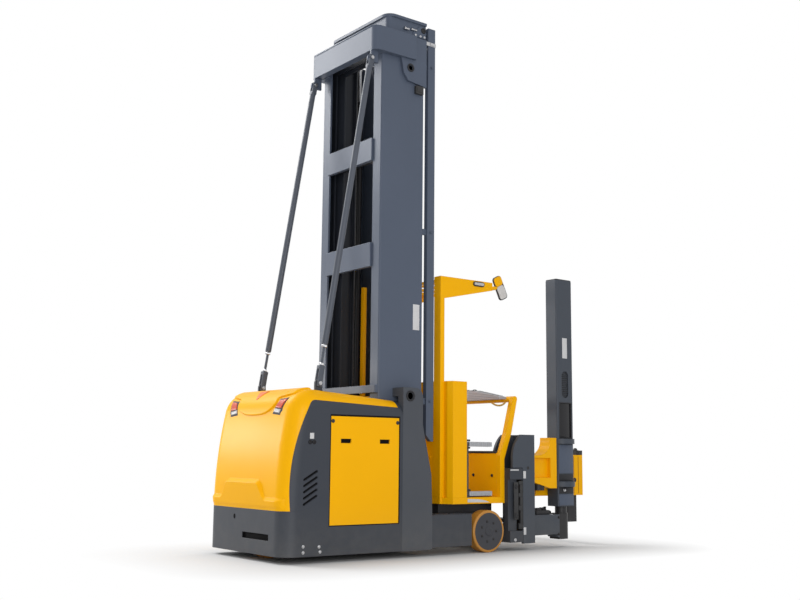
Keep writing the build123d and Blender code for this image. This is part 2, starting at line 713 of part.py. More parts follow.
def wheel(station, radius, y0, y1, tyre_depth, axle_radius):
    """Disc and tyre of a wheel on a cross axle; the tyre's edges are rounded."""
    disc = cross_rod(station, radius, y0, y1, radius - tyre_depth)
    disc -= cross_rod(station, radius, y0, y1, axle_radius + AXLE_CLEARANCE)
    tyre = cross_rod(station, radius, y0, y1, radius)
    tyre = fillet(tyre.edges().filter_by(GeomType.CIRCLE), tyre_depth / 2)
    tyre -= cross_rod(station, radius, y0, y1, radius - tyre_depth)
    return disc, tyre


def leg(side):
    """Straddle leg: a deep box behind the load wheel and a narrow beam beside it."""
    wheel_inner = HALF_WIDTH - WHEEL_WIDTH - WHEEL_LEG_GAP
    rear_box = sided(side, LEG_REAR, LEG_STEP, LEG_INNER_Y, HALF_WIDTH, LEG_BOTTOM_Z, LEG_TOP_Z)
    beam = sided(side, LEG_STEP, LEG_FRONT, LEG_INNER_Y, wheel_inner, LEG_BOTTOM_Z, LEG_TOP_Z)
    nose = [edge for edge in beam.edges().filter_by(Axis.Y) if edge.center().X > LEG_FRONT - 1]
    beam = fillet(nose, WHEEL_TYRE_DEPTH)
    return rear_box + beam


def load_axle(side):
    """Stub axle that carries a load wheel on its leg."""
    wheel_inner = HALF_WIDTH - WHEEL_WIDTH - WHEEL_LEG_GAP
    y0, y1 = sorted((side * wheel_inner, side * (HALF_WIDTH - WHEEL_LEG_GAP)))
    return cross_rod(WHEEL_STATION, WHEEL_RADIUS, y0, y1, LOAD_AXLE_RADIUS)


def mast_foot(side):
    """Thick side plate at the foot of the mast, with its transport eye and the collar around the column."""
    outline = make_face(
        Polyline(
            (BODY_FRONT, GROUND_GAP),
            (LEG_REAR, GROUND_GAP),
            (LEG_REAR, LEG_TOP_Z),
            (LEG_REAR - BASE_LEAN, LEG_TOP_Z + BASE_BEND_RISE),
            (BASE_TOP_FRONT, BASE_TOP_Z - BASE_SHOULDER_DROP),
            (BASE_TOP_FRONT, BASE_TOP_Z),
            (BODY_FRONT, BASE_TOP_Z),
            close=True,
        )
    )
    outline = fillet(nearest(outline.vertices(), BASE_TOP_FRONT, BASE_TOP_Z), BASE_TOP_ROUND)
    inner = HALF_WIDTH - BASE_PLATE_THICK
    y0, y1 = sorted((side * inner, side * HALF_WIDTH))
    plate = side_face(outline, y0, y1)
    plate -= cross_rod(BASE_EYE_STATION, BASE_EYE_Z, y0, y1, BASE_EYE_RADIUS)
    collar_low = BASE_TOP_Z - BASE_PLATE_THICK
    return plate + sided(side, BODY_FRONT, BASE_TOP_FRONT, MAST_HALF_WIDTH, inner, collar_low, BASE_TOP_Z)


def mast_floor():
    """Heavy plate between the foot plates that the columns stand on."""
    inner = HALF_WIDTH - BASE_PLATE_THICK
    plate = block(BODY_FRONT, LEG_REAR, -inner, inner, GROUND_GAP, MAST_FLOOR_TOP_Z)
    return plate + block(BAY_REAR, BODY_FRONT, -BAY_HALF_WIDTH, BAY_HALF_WIDTH, GROUND_GAP, MAST_FLOOR_TOP_Z)


def outer_column(side):
    """Channel column of the outer mast, open towards the middle."""
    outer = MAST_HALF_WIDTH
    points = [
        (MAST_REAR, outer - MAST_REAR_FLANGE_WIDTH),
        (MAST_REAR, outer),
        (MAST_FRONT, outer),
        (MAST_FRONT, outer - MAST_FRONT_FLANGE_WIDTH),
        (MAST_FRONT - MAST_FLANGE, outer - MAST_FRONT_FLANGE_WIDTH),
        (MAST_FRONT - MAST_FLANGE, outer - MAST_WEB),
        (MAST_REAR + MAST_FLANGE, outer - MAST_WEB),
        (MAST_REAR + MAST_FLANGE, outer - MAST_REAR_FLANGE_WIDTH),
    ]
    outline = make_face(Polyline(*points, close=True))
    corners = [nearest(outline.vertices(), MAST_REAR, outer), nearest(outline.vertices(), MAST_FRONT, outer)]
    outline = fillet(corners, MAST_CORNER_ROUND)
    column = Pos(0, 0, MAST_FLOOR_TOP_Z) * extrude(outline, MAST_TOP_Z - MAST_FLOOR_TOP_Z)
    return column if side > 0 else mirror(column, about=Plane.XZ)


def cross_beams():
    """Rear cross beams of the outer mast, set between its columns, and the collar plate behind its foot."""
    half = MAST_HALF_WIDTH - MAST_REAR_FLANGE_WIDTH
    rear = MAST_REAR + MAST_FLANGE - BEAM_THICK
    front = MAST_REAR + MAST_FLANGE
    beams = [block(rear, front, -half, half, low, low + height) for low, height in BEAM_TABLE]
    collar_rear = MAST_REAR - BEAM_THICK
    collar_top = COLLAR_LOW_Z + COLLAR_HEIGHT
    collar = block(collar_rear, MAST_REAR, -MAST_HALF_WIDTH, MAST_HALF_WIDTH, COLLAR_LOW_Z, collar_top)
    return beams + [collar]


def outer_crown():
    """Horseshoe beam around the mast's top, with lugs for the stays and hanging ears with lifting eyes."""
    half = CROWN_HALF_WIDTH
    outline = Rectangle(CROWN_FRONT - CROWN_REAR, 2 * half)
    outline = Pos((CROWN_FRONT + CROWN_REAR) / 2, 0) * outline
    corners = [nearest(outline.vertices(), CROWN_REAR, side * half) for side in RIGHT_AND_LEFT]
    outline = fillet(corners, CROWN_ROUND)
    beam = Pos(0, 0, CROWN_LOW_Z) * extrude(outline, CROWN_TOP_Z - CROWN_LOW_Z)
    inner_rear = CROWN_REAR + CROWN_DEPTH
    beam -= block(inner_rear, CROWN_FRONT, -MAST_HALF_WIDTH, MAST_HALF_WIDTH, CROWN_LOW_Z, CROWN_TOP_Z)
    lug_half = STAY_LUG_THICK / 2
    for side in RIGHT_AND_LEFT:
        beam += sided(
            side,
            MAST_REAR - BEAM_THICK,
            MAST_REAR,
            MAST_HALF_WIDTH - MAST_REAR_FLANGE_WIDTH,
            MAST_HALF_WIDTH,
            CROWN_LOW_Z,
            CROWN_TOP_Z,
        )
        y0, y1 = sorted((side * (STAY_Y - lug_half), side * (STAY_Y + lug_half)))
        lug = block(STAY_TOP_STATION, inner_rear, y0, y1, STAY_TOP_Z - STAY_FORK_RADIUS, CROWN_LOW_Z)
        beam += lug + cross_rod(STAY_TOP_STATION, STAY_TOP_Z, y0, y1, STAY_FOOT_HALF_LENGTH)
        ear_points = [
            (EAR_REAR, CROWN_LOW_Z),
            (EAR_REAR + EAR_TAPER, EAR_HOLE_Z - EAR_HOLE_MARGIN),
            (EAR_REAR + EAR_TOE, EAR_LOW_Z + EAR_TOE_RISE),
            (EAR_FRONT, EAR_LOW_Z),
            (EAR_FRONT, CROWN_TOP_Z),
            (EAR_REAR, CROWN_TOP_Z),
        ]
        low, high = sorted((side * MAST_HALF_WIDTH, side * (MAST_HALF_WIDTH + EAR_THICK)))
        ear = side_prism(ear_points, low, high)
        beam += ear - cross_rod(EAR_HOLE_STATION, EAR_HOLE_Z, low, high, EAR_HOLE_RADIUS)
    return beam


def hose_duct():
    """Upright duct for hoses in front of the right column, with a bevelled lower end, on three brackets."""
    points = [
        (DUCT_REAR, DUCT_LOW_Z + DUCT_BEVEL),
        (DUCT_REAR + DUCT_BEVEL, DUCT_LOW_Z),
        (DUCT_FRONT, DUCT_LOW_Z),
        (DUCT_FRONT, DUCT_TOP_Z),
        (DUCT_REAR, DUCT_TOP_Z),
    ]
    duct = side_prism(points, DUCT_OUTER_Y, DUCT_INNER_Y)
    for z in DUCT_BRACKET_Z:
        duct += block(
            MAST_FRONT,
            DUCT_REAR,
            -MAST_HALF_WIDTH + DUCT_BRACKET_INSET,
            DUCT_INNER_Y - DUCT_BRACKET_INSET,
            z,
            z + DUCT_BRACKET_HEIGHT,
        )
    return duct


def lift_cylinder(side):
    """Barrel of a lift cylinder, standing on the mast floor inside its column."""
    y = side * CYLINDER_Y
    barrel = rod(CYLINDER_STATION, y, MAST_FLOOR_TOP_Z, CYLINDER_TOP_Z, CYLINDER_RADIUS)
    return barrel - rod(CYLINDER_STATION, y, ROD_LOW_Z - CYLINDER_BORE, CYLINDER_TOP_Z, CYLINDER_BORE)


def cylinder_rod(side):
    """Rod of a lift cylinder, which pushes up the middle stage's crown; its piston fills the barrel's bore."""
    y = side * CYLINDER_Y
    bar = rod(CYLINDER_STATION, y, ROD_LOW_Z, MIDDLE_CROWN_LOW_Z, ROD_RADIUS)
    return bar + rod(CYLINDER_STATION, y, ROD_LOW_Z, ROD_LOW_Z + CYLINDER_RADIUS, CYLINDER_BORE - SLIDE_GAP)


def middle_rail(side):
    """Channel rail of the middle stage, with guide pads at its foot that run in the outer column."""
    outer = MIDDLE_OUTER_Y
    inner = outer - MIDDLE_WIDTH
    front = MIDDLE_FRONT
    rail = sided(side, MIDDLE_REAR, front, outer - MIDDLE_WEB, outer, STAGE_LOW_Z, MIDDLE_CROWN_LOW_Z)
    for x in (MIDDLE_REAR, front - MIDDLE_FLANGE):
        rail += sided(side, x, x + MIDDLE_FLANGE, inner, outer, STAGE_LOW_Z, MIDDLE_CROWN_LOW_Z)
    rail += sided(
        side,
        MAST_REAR + MAST_FLANGE + SLIDE_GAP,
        front,
        outer,
        outer + STAGE_GAP - SLIDE_GAP,
        STAGE_LOW_Z,
        STAGE_LOW_Z + GUIDE_LENGTH,
    )
    return rail


def middle_stage():
    """Two rails of the middle stage joined by cross ties behind everything that rises inside them."""
    half = MIDDLE_OUTER_Y - MIDDLE_WIDTH + MIDDLE_FLANGE
    stage = middle_rail(1) + middle_rail(-1)
    for z in MIDDLE_TIE_Z:
        stage += block(MIDDLE_REAR, MIDDLE_REAR + MIDDLE_FLANGE, -half, half, z, z + TIE_HEIGHT)
    return stage


def horseshoe(rear, half, corner_round, z0, z1):
    """Slab with rounded rear corners, as long as the middle crown reaches."""
    front = MIDDLE_REAR + MIDDLE_CROWN_LENGTH
    outline = Pos((rear + front) / 2, 0) * Rectangle(front - rear, 2 * half)
    corners = [nearest(outline.vertices(), rear, side * half) for side in RIGHT_AND_LEFT]
    return Pos(0, 0, z0) * extrude(fillet(corners, corner_round), z1 - z0)


def middle_crown():
    """Horseshoe on top of the middle rails, open towards the front, with a lid that stands out over its walls."""
    half = MIDDLE_OUTER_Y + MIDDLE_CROWN_MARGIN
    lid_low = MIDDLE_CROWN_TOP_Z - MIDDLE_CROWN_LID
    lid_half = half + MIDDLE_CROWN_OVERHANG
    lid_rear = MIDDLE_REAR - MIDDLE_CROWN_OVERHANG
    crown = horseshoe(MIDDLE_REAR, half, MIDDLE_CROWN_WALL_ROUND, MIDDLE_CROWN_LOW_Z, lid_low)
    crown += horseshoe(lid_rear, lid_half, MIDDLE_CROWN_ROUND, lid_low, MIDDLE_CROWN_TOP_Z)
    opening_half = CHAIN_Y - CHAIN_WIDTH / 2 - STAGE_GAP / 2
    opening_rear = MIDDLE_REAR + MIDDLE_FLANGE
    crown -= block(
        opening_rear,
        MIDDLE_REAR + MIDDLE_CROWN_LENGTH,
        -opening_half,
        opening_half,
        MIDDLE_CROWN_LOW_Z,
        MIDDLE_CROWN_TOP_Z,
    )
    pocket_half = INNER_OUTER_Y + STAGE_GAP
    crown -= block(
        opening_rear,
        INNER_FRONT + STAGE_GAP,
        -pocket_half,
        pocket_half,
        MIDDLE_CROWN_LOW_Z,
        MIDDLE_CROWN_TOP_Z,
    )
    return crown


def chain(side):
    """Lift chain strand hanging from the middle crown beside the cab carriage."""
    return sided(
        side,
        CHAIN_STATION - CHAIN_DEPTH / 2,
        CHAIN_STATION + CHAIN_DEPTH / 2,
        CHAIN_Y - CHAIN_WIDTH / 2,
        CHAIN_Y + CHAIN_WIDTH / 2,
        CHAIN_LOW_Z,
        MIDDLE_CROWN_LOW_Z,
    )


def inner_rail(side):
    """H-shaped rail of the inner stage, with guide pads at its foot."""
    outer = INNER_OUTER_Y
    inner = outer - INNER_WIDTH
    rail = sided(side, INNER_REAR, INNER_FRONT, INNER_WEB_Y, INNER_WEB_Y + INNER_WEB, STAGE_LOW_Z, INNER_TOP_Z)
    for x in (INNER_REAR, INNER_FRONT - INNER_FLANGE):
        rail += sided(side, x, x + INNER_FLANGE, inner, outer, STAGE_LOW_Z, INNER_TOP_Z)
    rail += sided(
        side,
        INNER_REAR,
        INNER_FRONT,
        INNER_WEB_Y,
        outer + STAGE_GAP - SLIDE_GAP,
        STAGE_LOW_Z,
        STAGE_LOW_Z + GUIDE_LENGTH,
    )
    return rail


def inner_stage():
    """Two rails of the inner stage joined by rear cross ties."""
    stage = inner_rail(1) + inner_rail(-1)
    half = INNER_OUTER_Y - INNER_WIDTH + INNER_FLANGE
    tie_rear = MIDDLE_REAR + MIDDLE_FLANGE + STAGE_GAP / 2
    for z in INNER_TIE_Z:
        stage += block(tie_rear, INNER_REAR + INNER_FLANGE, -half, half, z, z + TIE_HEIGHT)
    return stage


def cab_carriage():
    """Frame that runs in the inner rails and carries the cab in front of the mast, with two slim uprights."""
    rear = INNER_REAR + INNER_FLANGE + STAGE_GAP / 2
    guide_front = INNER_FRONT - INNER_FLANGE - STAGE_GAP / 2
    outer = CARRIAGE_HALF_WIDTH
    pieces = []
    for side in RIGHT_AND_LEFT:
        plate = sided(side, rear, CAB_REAR, outer - CARRIAGE_PLATE, outer, CARRIAGE_LOW_Z, CARRIAGE_TOP_Z)
        for z in (CARRIAGE_LOW_Z, CARRIAGE_TOP_Z - GUIDE_LENGTH):
            plate += sided(side, rear, guide_front, outer, INNER_WEB_Y - SLIDE_GAP, z, z + GUIDE_LENGTH)
        plate += sided(
            side,
            MIDDLE_FRONT + CARRIAGE_UPRIGHT_GAP,
            MIDDLE_FRONT + CARRIAGE_UPRIGHT_GAP + CARRIAGE_UPRIGHT_DEPTH,
            outer - CARRIAGE_PLATE,
            outer,
            CARRIAGE_TOP_Z,
            CARRIAGE_TOP_Z + CARRIAGE_UPRIGHT_HEIGHT,
        )
        pieces.append(plate)
    frame = pieces[0]
    frame += pieces[1]
    for z in (CARRIAGE_LOW_Z, CARRIAGE_TOP_Z - CARRIAGE_BAR_HEIGHT):
        frame += block(
            CAB_REAR - CARRIAGE_PLATE,
            CAB_REAR,
            -outer,
            outer,
            z,
            z + CARRIAGE_BAR_HEIGHT,
        )
    return frame


def cab_corner_y(station):
    """Half width of the cab at a station along its cut-off rear corner."""
    along = station - CAB_REAR - CAB_CORNER_START
    return CAB_BACK_HALF_WIDTH + CAB_CORNER_WIDTH * along / (CAB_CORNER_END - CAB_CORNER_START)


def cab_floor():
    """Cab floor with its rear corners cut off."""
    right = [
        (CAB_REAR, -CAB_BACK_HALF_WIDTH),
        (CAB_REAR + CAB_CORNER_START, -CAB_BACK_HALF_WIDTH),
        (CAB_REAR + CAB_CORNER_END, -CAB_HALF_WIDTH),
        (CAB_FRONT, -CAB_HALF_WIDTH),
    ]
    left = [(x, -y) for x, y in reversed(right)]
    return plan_prism(right + left, CAB_FLOOR_LOW_Z, CAB_FLOOR_Z)


def cab_underframe():
    """Box frame under the cab floor, between the legs."""
    half = LEG_INNER_Y - UNDERFRAME_GAP
    rear = CAB_REAR + UNDERFRAME_INSET
    front = CAB_FRONT - UNDERFRAME_INSET
    low = CAB_FLOOR_LOW_Z - UNDERFRAME_HEIGHT
    beam = UNDERFRAME_BEAM
    frame = block(rear, front, -half, half, low, CAB_FLOOR_LOW_Z)
    return frame - block(rear + beam, front - beam, -half + beam, half - beam, low, CAB_FLOOR_LOW_Z)


def cab_back():
    """Back wall of the cab."""
    half = CAB_BACK_HALF_WIDTH - POST_WIDTH
    return block(CAB_REAR, CAB_REAR + CAB_WALL, -half, half, CAB_FLOOR_Z, QUARTER_TOP_Z)


def cab_quarter(side):
    """Rear quarter panel: a cut-off corner and a short side wall, which ends at the entry."""
    wall = CAB_WALL
    post_front = CAB_REAR + POST_DEPTH
    corner = CAB_REAR + CAB_CORNER_END
    points = [
        (post_front, CAB_BACK_HALF_WIDTH - POST_WIDTH / 2),
        (post_front, cab_corner_y(post_front)),
        (corner, CAB_HALF_WIDTH),
        (ENTRY_REAR, CAB_HALF_WIDTH),
        (ENTRY_REAR, CAB_HALF_WIDTH - wall),
        (corner + wall / 2, CAB_HALF_WIDTH - wall),
    ]
    return plan_prism([(x, side * y) for x, y in points], CAB_FLOOR_Z, QUARTER_TOP_Z)


def cab_post(side):
    """Tall rear corner post that carries the overhead guard."""
    outer = CAB_BACK_HALF_WIDTH
    return sided(side, CAB_REAR, CAB_REAR + POST_DEPTH, outer - POST_WIDTH, outer, CAB_FLOOR_Z, GUARD_TOP_Z)


def cab_front():
    """Front wall of the cab up to the console, set between the two front posts."""
    inner = CAB_HALF_WIDTH - FRONT_POST_WIDTH
    return block(CAB_FRONT - CAB_FRONT_WALL, CAB_FRONT, -inner, inner, CAB_FLOOR_Z, CONSOLE_TOP_Z)


def front_post(side):
    """Front post: upright beside the front wall, then leaning forward in two slopes to the rail."""
    rear = CAB_FRONT - CAB_FRONT_WALL
    lean_z = CONSOLE_TOP_Z - FRONT_POST_LEAN_DROP
    knee = CAB_FRONT + FRONT_POST_KNEE_REACH
    knee_z = FRONT_RAIL_Z - FRONT_POST_KNEE_DROP
    points = [
        (rear, CAB_FLOOR_Z),
        (CAB_FRONT, CAB_FLOOR_Z),
        (CAB_FRONT, lean_z),
        (knee, knee_z),
        (FRONT_RAIL_STATION + FRONT_RAIL_RADIUS, FRONT_RAIL_Z),
        (FRONT_RAIL_STATION - FRONT_RAIL_RADIUS, FRONT_RAIL_Z),
        (knee - FRONT_POST_DEPTH, knee_z),
        (rear, lean_z + FRONT_POST_DEPTH / 2),
    ]
    y0, y1 = sorted((side * (CAB_HALF_WIDTH - FRONT_POST_WIDTH), side * CAB_HALF_WIDTH))
    return side_prism(points, y0, y1)


def front_frame():
    """Two front posts joined by a round rail across their tops."""
    frame = front_post(1) + front_post(-1)
    return frame + cross_rod(
        FRONT_RAIL_STATION,
        FRONT_RAIL_Z,
        -CAB_HALF_WIDTH,
        CAB_HALF_WIDTH,
        FRONT_RAIL_RADIUS,
    )


def guard_arm(side):
    """Side arm of the overhead guard, deep at the post and slim at its front end."""
    rear = CAB_REAR + POST_DEPTH
    points = [
        (rear, GUARD_TOP_Z),
        (GUARD_FRONT, GUARD_TOP_Z),
        (GUARD_FRONT, GUARD_TOP_Z - GUARD_FRONT_DEPTH),
        (rear, GUARD_TOP_Z - GUARD_REAR_DEPTH),
    ]
    outer = CAB_BACK_HALF_WIDTH
    y0, y1 = sorted((side * (outer - GUARD_ARM_WIDTH), side * outer))
    return side_prism(points, y0, y1)


def guard_roof():
    """Roof bars between the arms, joined by a strip at each end."""
    half = CAB_BACK_HALF_WIDTH - GUARD_ARM_WIDTH
    rear = CAB_REAR + POST_DEPTH
    z0 = GUARD_TOP_Z - GUARD_FRONT_DEPTH / 2
    z1 = z0 + ROOF_THICK
    roof = block(rear, rear + ROOF_BAR_WIDTH, -half, half, z0, z1)
    roof += block(GUARD_FRONT - ROOF_BAR_WIDTH, GUARD_FRONT, -half, half, z0, z1)
    pitch = (2 * half - ROOF_BAR_WIDTH) / (ROOF_BAR_COUNT - 1)
    for index in range(ROOF_BAR_COUNT):
        y0 = -half + index * pitch
        roof += block(rear, GUARD_FRONT, y0, y0 + ROOF_BAR_WIDTH, z0, z1)
    return roof


def mirror_pad():
    """Tilted mirror on a short stalk at the front end of the right guard arm."""
    y = -CAB_BACK_HALF_WIDTH + GUARD_ARM_WIDTH / 2
    z = GUARD_TOP_Z - GUARD_FRONT_DEPTH / 2
    x = GUARD_FRONT + MIRROR_REACH
    plate = Rot(0, -MIRROR_TILT, 0) * Box(MIRROR_WIDTH, MIRROR_THICK, MIRROR_HEIGHT)
    stalk_radius = MIRROR_THICK / 2
    stalk = Pos(GUARD_FRONT + MIRROR_REACH / 2, y, z) * Rot(0, 90, 0) * Cylinder(stalk_radius, MIRROR_REACH)
    return stalk + Pos(x, y, z) * plate


def backrest():
    """Padded back support on the cab's rear wall."""
    rear = CAB_REAR + CAB_WALL
    half = BACKREST_HALF_WIDTH
    return block(rear, rear + BACKREST_THICK, -half, half, BACKREST_LOW_Z, BACKREST_LOW_Z + BACKREST_HEIGHT)


def console():
    """Control desk on the front rail, highest in the middle and slim at its ends."""
    half = CAB_HALF_WIDTH - FRONT_POST_WIDTH - CONSOLE_GAP
    end_z = FRONT_RAIL_Z + CONSOLE_EDGE
    top_z = FRONT_RAIL_Z + CONSOLE_RISE
    right = [(0, FRONT_RAIL_Z), (-half, FRONT_RAIL_Z), (-half, end_z), (-CONSOLE_TOP_HALF_WIDTH, top_z)]
    left = [(-y, z) for y, z in reversed(right[1:])]
    rear = FRONT_RAIL_STATION - CONSOLE_DEPTH
    plane = Plane(origin=(rear, 0, 0), x_dir=(0, 1, 0), z_dir=(1, 0, 0))
    desk = extrude(plane * make_face(Polyline(*right, *left, close=True)), CONSOLE_DEPTH)
    return desk - cross_rod(FRONT_RAIL_STATION, FRONT_RAIL_Z, -half, half, FRONT_RAIL_RADIUS)


def gate(side):
    """Two bars on an upright hinge tube at the entry's rear edge."""
    x = ENTRY_REAR + GATE_POST_RADIUS + GATE_ENTRY_GAP
    y = side * GATE_POST_Y
    low = CAB_FLOOR_Z + SLIDE_GAP
    top = GATE_BAR_Z[-1] + GATE_BAR_HEIGHT
    frame = rod(x, y, low, top, GATE_POST_RADIUS)
    half = GATE_BAR_THICK / 2
    for z in GATE_BAR_Z:
        frame += block(x, x + GATE_LENGTH, y - half, y + half, z, z + GATE_BAR_HEIGHT)
    return frame


def traverse_rail(low, top):
    """Cross rail of the traverse frame on the cab's front."""
    return block(FRAME_REAR, FRAME_FRONT, -HALF_WIDTH, HALF_WIDTH, low, top)


def traverse_frame():
    """Upper and lower cross rails on four uprights, fixed to the cab's front."""
    frame = traverse_rail(FRAME_TOP_Z - FRAME_RAIL_HEIGHT, FRAME_TOP_Z)
    frame += traverse_rail(FRAME_LOW_Z, FRAME_LOW_Z + FRAME_RAIL_HEIGHT)
    reach = HALF_WIDTH - FRAME_POST_WIDTH
    for centre in (-reach, -reach / 3, reach / 3, reach):
        frame += block(
            FRAME_REAR,
            FRAME_REAR + FRAME_POST_DEPTH,
            centre - FRAME_POST_WIDTH / 2,
            centre + FRAME_POST_WIDTH / 2,
            FRAME_LOW_Z,
            FRAME_TOP_Z,
        )
    return frame


def shift_outline():
    """Side view of the shift carriage's end plates: a tall plate with a rounded hook over the upper rail."""
    hook_low = FRAME_TOP_Z + SHIFT_GAP
    points = [
        (SHIFT_HOOK_REAR + SHIFT_HOOK_SWEEP, SHIFT_TOP_Z),
        (SHIFT_FRONT, SHIFT_TOP_Z),
        (SHIFT_FRONT, SHIFT_LOW_Z),
        (SHIFT_REAR, SHIFT_LOW_Z),
        (SHIFT_REAR, hook_low),
        (SHIFT_HOOK_REAR, hook_low),
        (SHIFT_HOOK_REAR, hook_low + SHIFT_HOOK_STRAIGHT),
    ]
    sides = Polyline(*points)
    crown = TangentArc(points[-1], points[0], tangent=(0, 1))
    return make_face([*sides.edges(), crown])


def shift_plate(y0):
    """One end plate of the shift carriage."""
    return side_face(shift_outline(), y0, y0 + SHIFT_PLATE)


def shift_body():
    """Front plate of the shift carriage and its slide pads on the two cross rails."""
    y0 = -HALF_WIDTH + SHIFT_PLATE
    y1 = -HALF_WIDTH + SHIFT_WIDTH - SHIFT_PLATE
    body = block(SHIFT_FRONT - SHIFT_PLATE, SHIFT_FRONT, y0, y1, SHIFT_LOW_Z, SHIFT_TOP_Z)
    for low in (FRAME_LOW_Z, FRAME_TOP_Z - SHIFT_PAD_HEIGHT):
        body += block(FRAME_FRONT + SLIDE_GAP, SHIFT_FRONT, y0, y1, low, low + SHIFT_PAD_HEIGHT)
    return body


def lower_arm():
    """Grey box arm from the shift carriage to the slew drive, with a flange at its end."""
    end = TURRET_STATION - LOWER_ARM_SETBACK
    y0 = TURRET_Y - ARM_WIDTH / 2
    y1 = TURRET_Y + ARM_WIDTH / 2
    arm = block(SHIFT_FRONT, end, y0, y1, LOWER_ARM_LOW_Z, LOWER_ARM_TOP_Z)
    flange_low = LOWER_ARM_LOW_Z - LOWER_ARM_FLANGE_DROP
    return arm + block(end - LOWER_ARM_FLANGE, end, y0, y1, flange_low, LOWER_ARM_TOP_Z)


def slew_drive():
    """Rotary drive that carries the column and turns it, in a housing with a round front."""
    end = TURRET_STATION - LOWER_ARM_SETBACK
    y0 = TURRET_Y - SLEW_RADIUS
    y1 = TURRET_Y + SLEW_RADIUS
    drive = rod(TURRET_STATION, TURRET_Y, SLEW_LOW_Z, SLEW_SHOULDER_Z, SLEW_RADIUS)
    drive += block(end, TURRET_STATION, y0, y1, SLEW_LOW_Z, SLEW_SHOULDER_Z)
    return drive + rod(TURRET_STATION, TURRET_Y, SLEW_LOW_Z, COLUMN_LOW_Z - SLIDE_GAP, SLEW_NECK_RADIUS)


def upper_arm():
    """Yellow arm, hollowed at its sides, with a tall saddle plate that bears on the column's journal bands."""
    plate_rear = TURRET_STATION - JOURNAL_RADIUS - UPPER_PLATE_THICK
    plate_front = TURRET_STATION - JOURNAL_RADIUS / 2
    brow = (plate_rear, UPPER_PLATE_TOP_Z - UPPER_PLATE_BROW)
    neck = (plate_rear - UPPER_ARM_SWEEP, UPPER_ARM_TOP_Z)
    rise = TangentArc(neck, brow, tangent=(1, 0))
    rest = Polyline(
        brow,
        (plate_rear, UPPER_PLATE_TOP_Z),
        (plate_front, UPPER_PLATE_TOP_Z),
        (plate_front, UPPER_PLATE_LOW_Z),
        (plate_rear, UPPER_PLATE_LOW_Z),
        (SHIFT_FRONT, UPPER_ARM_LOW_Z),
        (SHIFT_FRONT, UPPER_ARM_TOP_Z),
        neck,
    )
    half = ARM_WIDTH / 2
    arm = side_face(make_face([rise, *rest.edges()]), TURRET_Y - half, TURRET_Y + half)
    arm -= rod(TURRET_STATION, TURRET_Y, UPPER_PLATE_LOW_Z, UPPER_PLATE_TOP_Z, JOURNAL_RADIUS + SLIDE_GAP)
    web = half - UPPER_ARM_POCKET_DEPTH
    margin = UPPER_ARM_POCKET_MARGIN
    for y0, y1 in ((TURRET_Y - half, TURRET_Y - web), (TURRET_Y + web, TURRET_Y + half)):
        arm -= block(
            SHIFT_FRONT + margin,
            plate_rear,
            y0,
            y1,
            UPPER_ARM_LOW_Z + margin,
            UPPER_ARM_TOP_Z - margin,
        )
    return arm


def slew_drum():
    """Round hose drum hung under the upper arm, its top cut to the arm's slope."""
    x = SHIFT_FRONT + DRUM_RADIUS + (TURRET_STATION - JOURNAL_RADIUS - SHIFT_FRONT) / 3
    return rod(x, TURRET_Y, UPPER_ARM_LOW_Z - DRUM_HEIGHT, UPPER_ARM_LOW_Z, DRUM_RADIUS) - upper_arm()


def swing_column():
    """Turning column of the fork head, with a bevelled top and two recesses in its right face."""
    outline = Rectangle(COLUMN_DEPTH, COLUMN_WIDTH)
    outline = fillet(outline.vertices(), COLUMN_CORNER_ROUND)
    column = extrude(outline, COLUMN_HEIGHT)
    column = chamfer(column.faces().sort_by(Axis.Z)[-1].edges(), COLUMN_DOME / 2)
    column = Pos(TURRET_STATION, TURRET_Y, COLUMN_LOW_Z) * column
    face = TURRET_Y - COLUMN_WIDTH / 2
    window_low = COLUMN_LOW_Z + COLUMN_WINDOW_RISE
    column -= block(
        TURRET_STATION - COLUMN_WINDOW_LENGTH / 2,
        TURRET_STATION + COLUMN_WINDOW_LENGTH / 2,
        face,
        face + COLUMN_WINDOW_DEPTH,
        window_low,
        window_low + COLUMN_WINDOW_HEIGHT,
    )
    slot_z = COLUMN_LOW_Z + COLUMN_SLOT_RISE + COLUMN_SLOT_HEIGHT / 2
    slot = Pos(TURRET_STATION, slot_z) * SlotOverall(COLUMN_SLOT_HEIGHT, COLUMN_SLOT_LENGTH, 90)
    return column - side_face(slot, face, face + COLUMN_SLOT_DEPTH)


def journal_bands():
    """Part-round bands on the column's rear, right and front that turn in the upper arm's saddle."""
    column = swing_column()
    bands = []
    for rise in JOURNAL_RISE:
        z = COLUMN_LOW_Z + rise
        band = rod(TURRET_STATION, TURRET_Y, z, z + JOURNAL_HEIGHT, JOURNAL_RADIUS)
        band -= block(
            TURRET_STATION - 2 * JOURNAL_RADIUS,
            TURRET_STATION + 2 * JOURNAL_RADIUS,
            TURRET_Y + COLUMN_WIDTH / 2 - COLUMN_CORNER_ROUND,
            TURRET_Y + 2 * JOURNAL_RADIUS,
            z,
            z + JOURNAL_HEIGHT,
        )
        bands.append(band - column)
    return bands


FORK_FRAME_INNER_Y = TURRET_Y + COLUMN_WIDTH / 2 + SLIDE_GAP


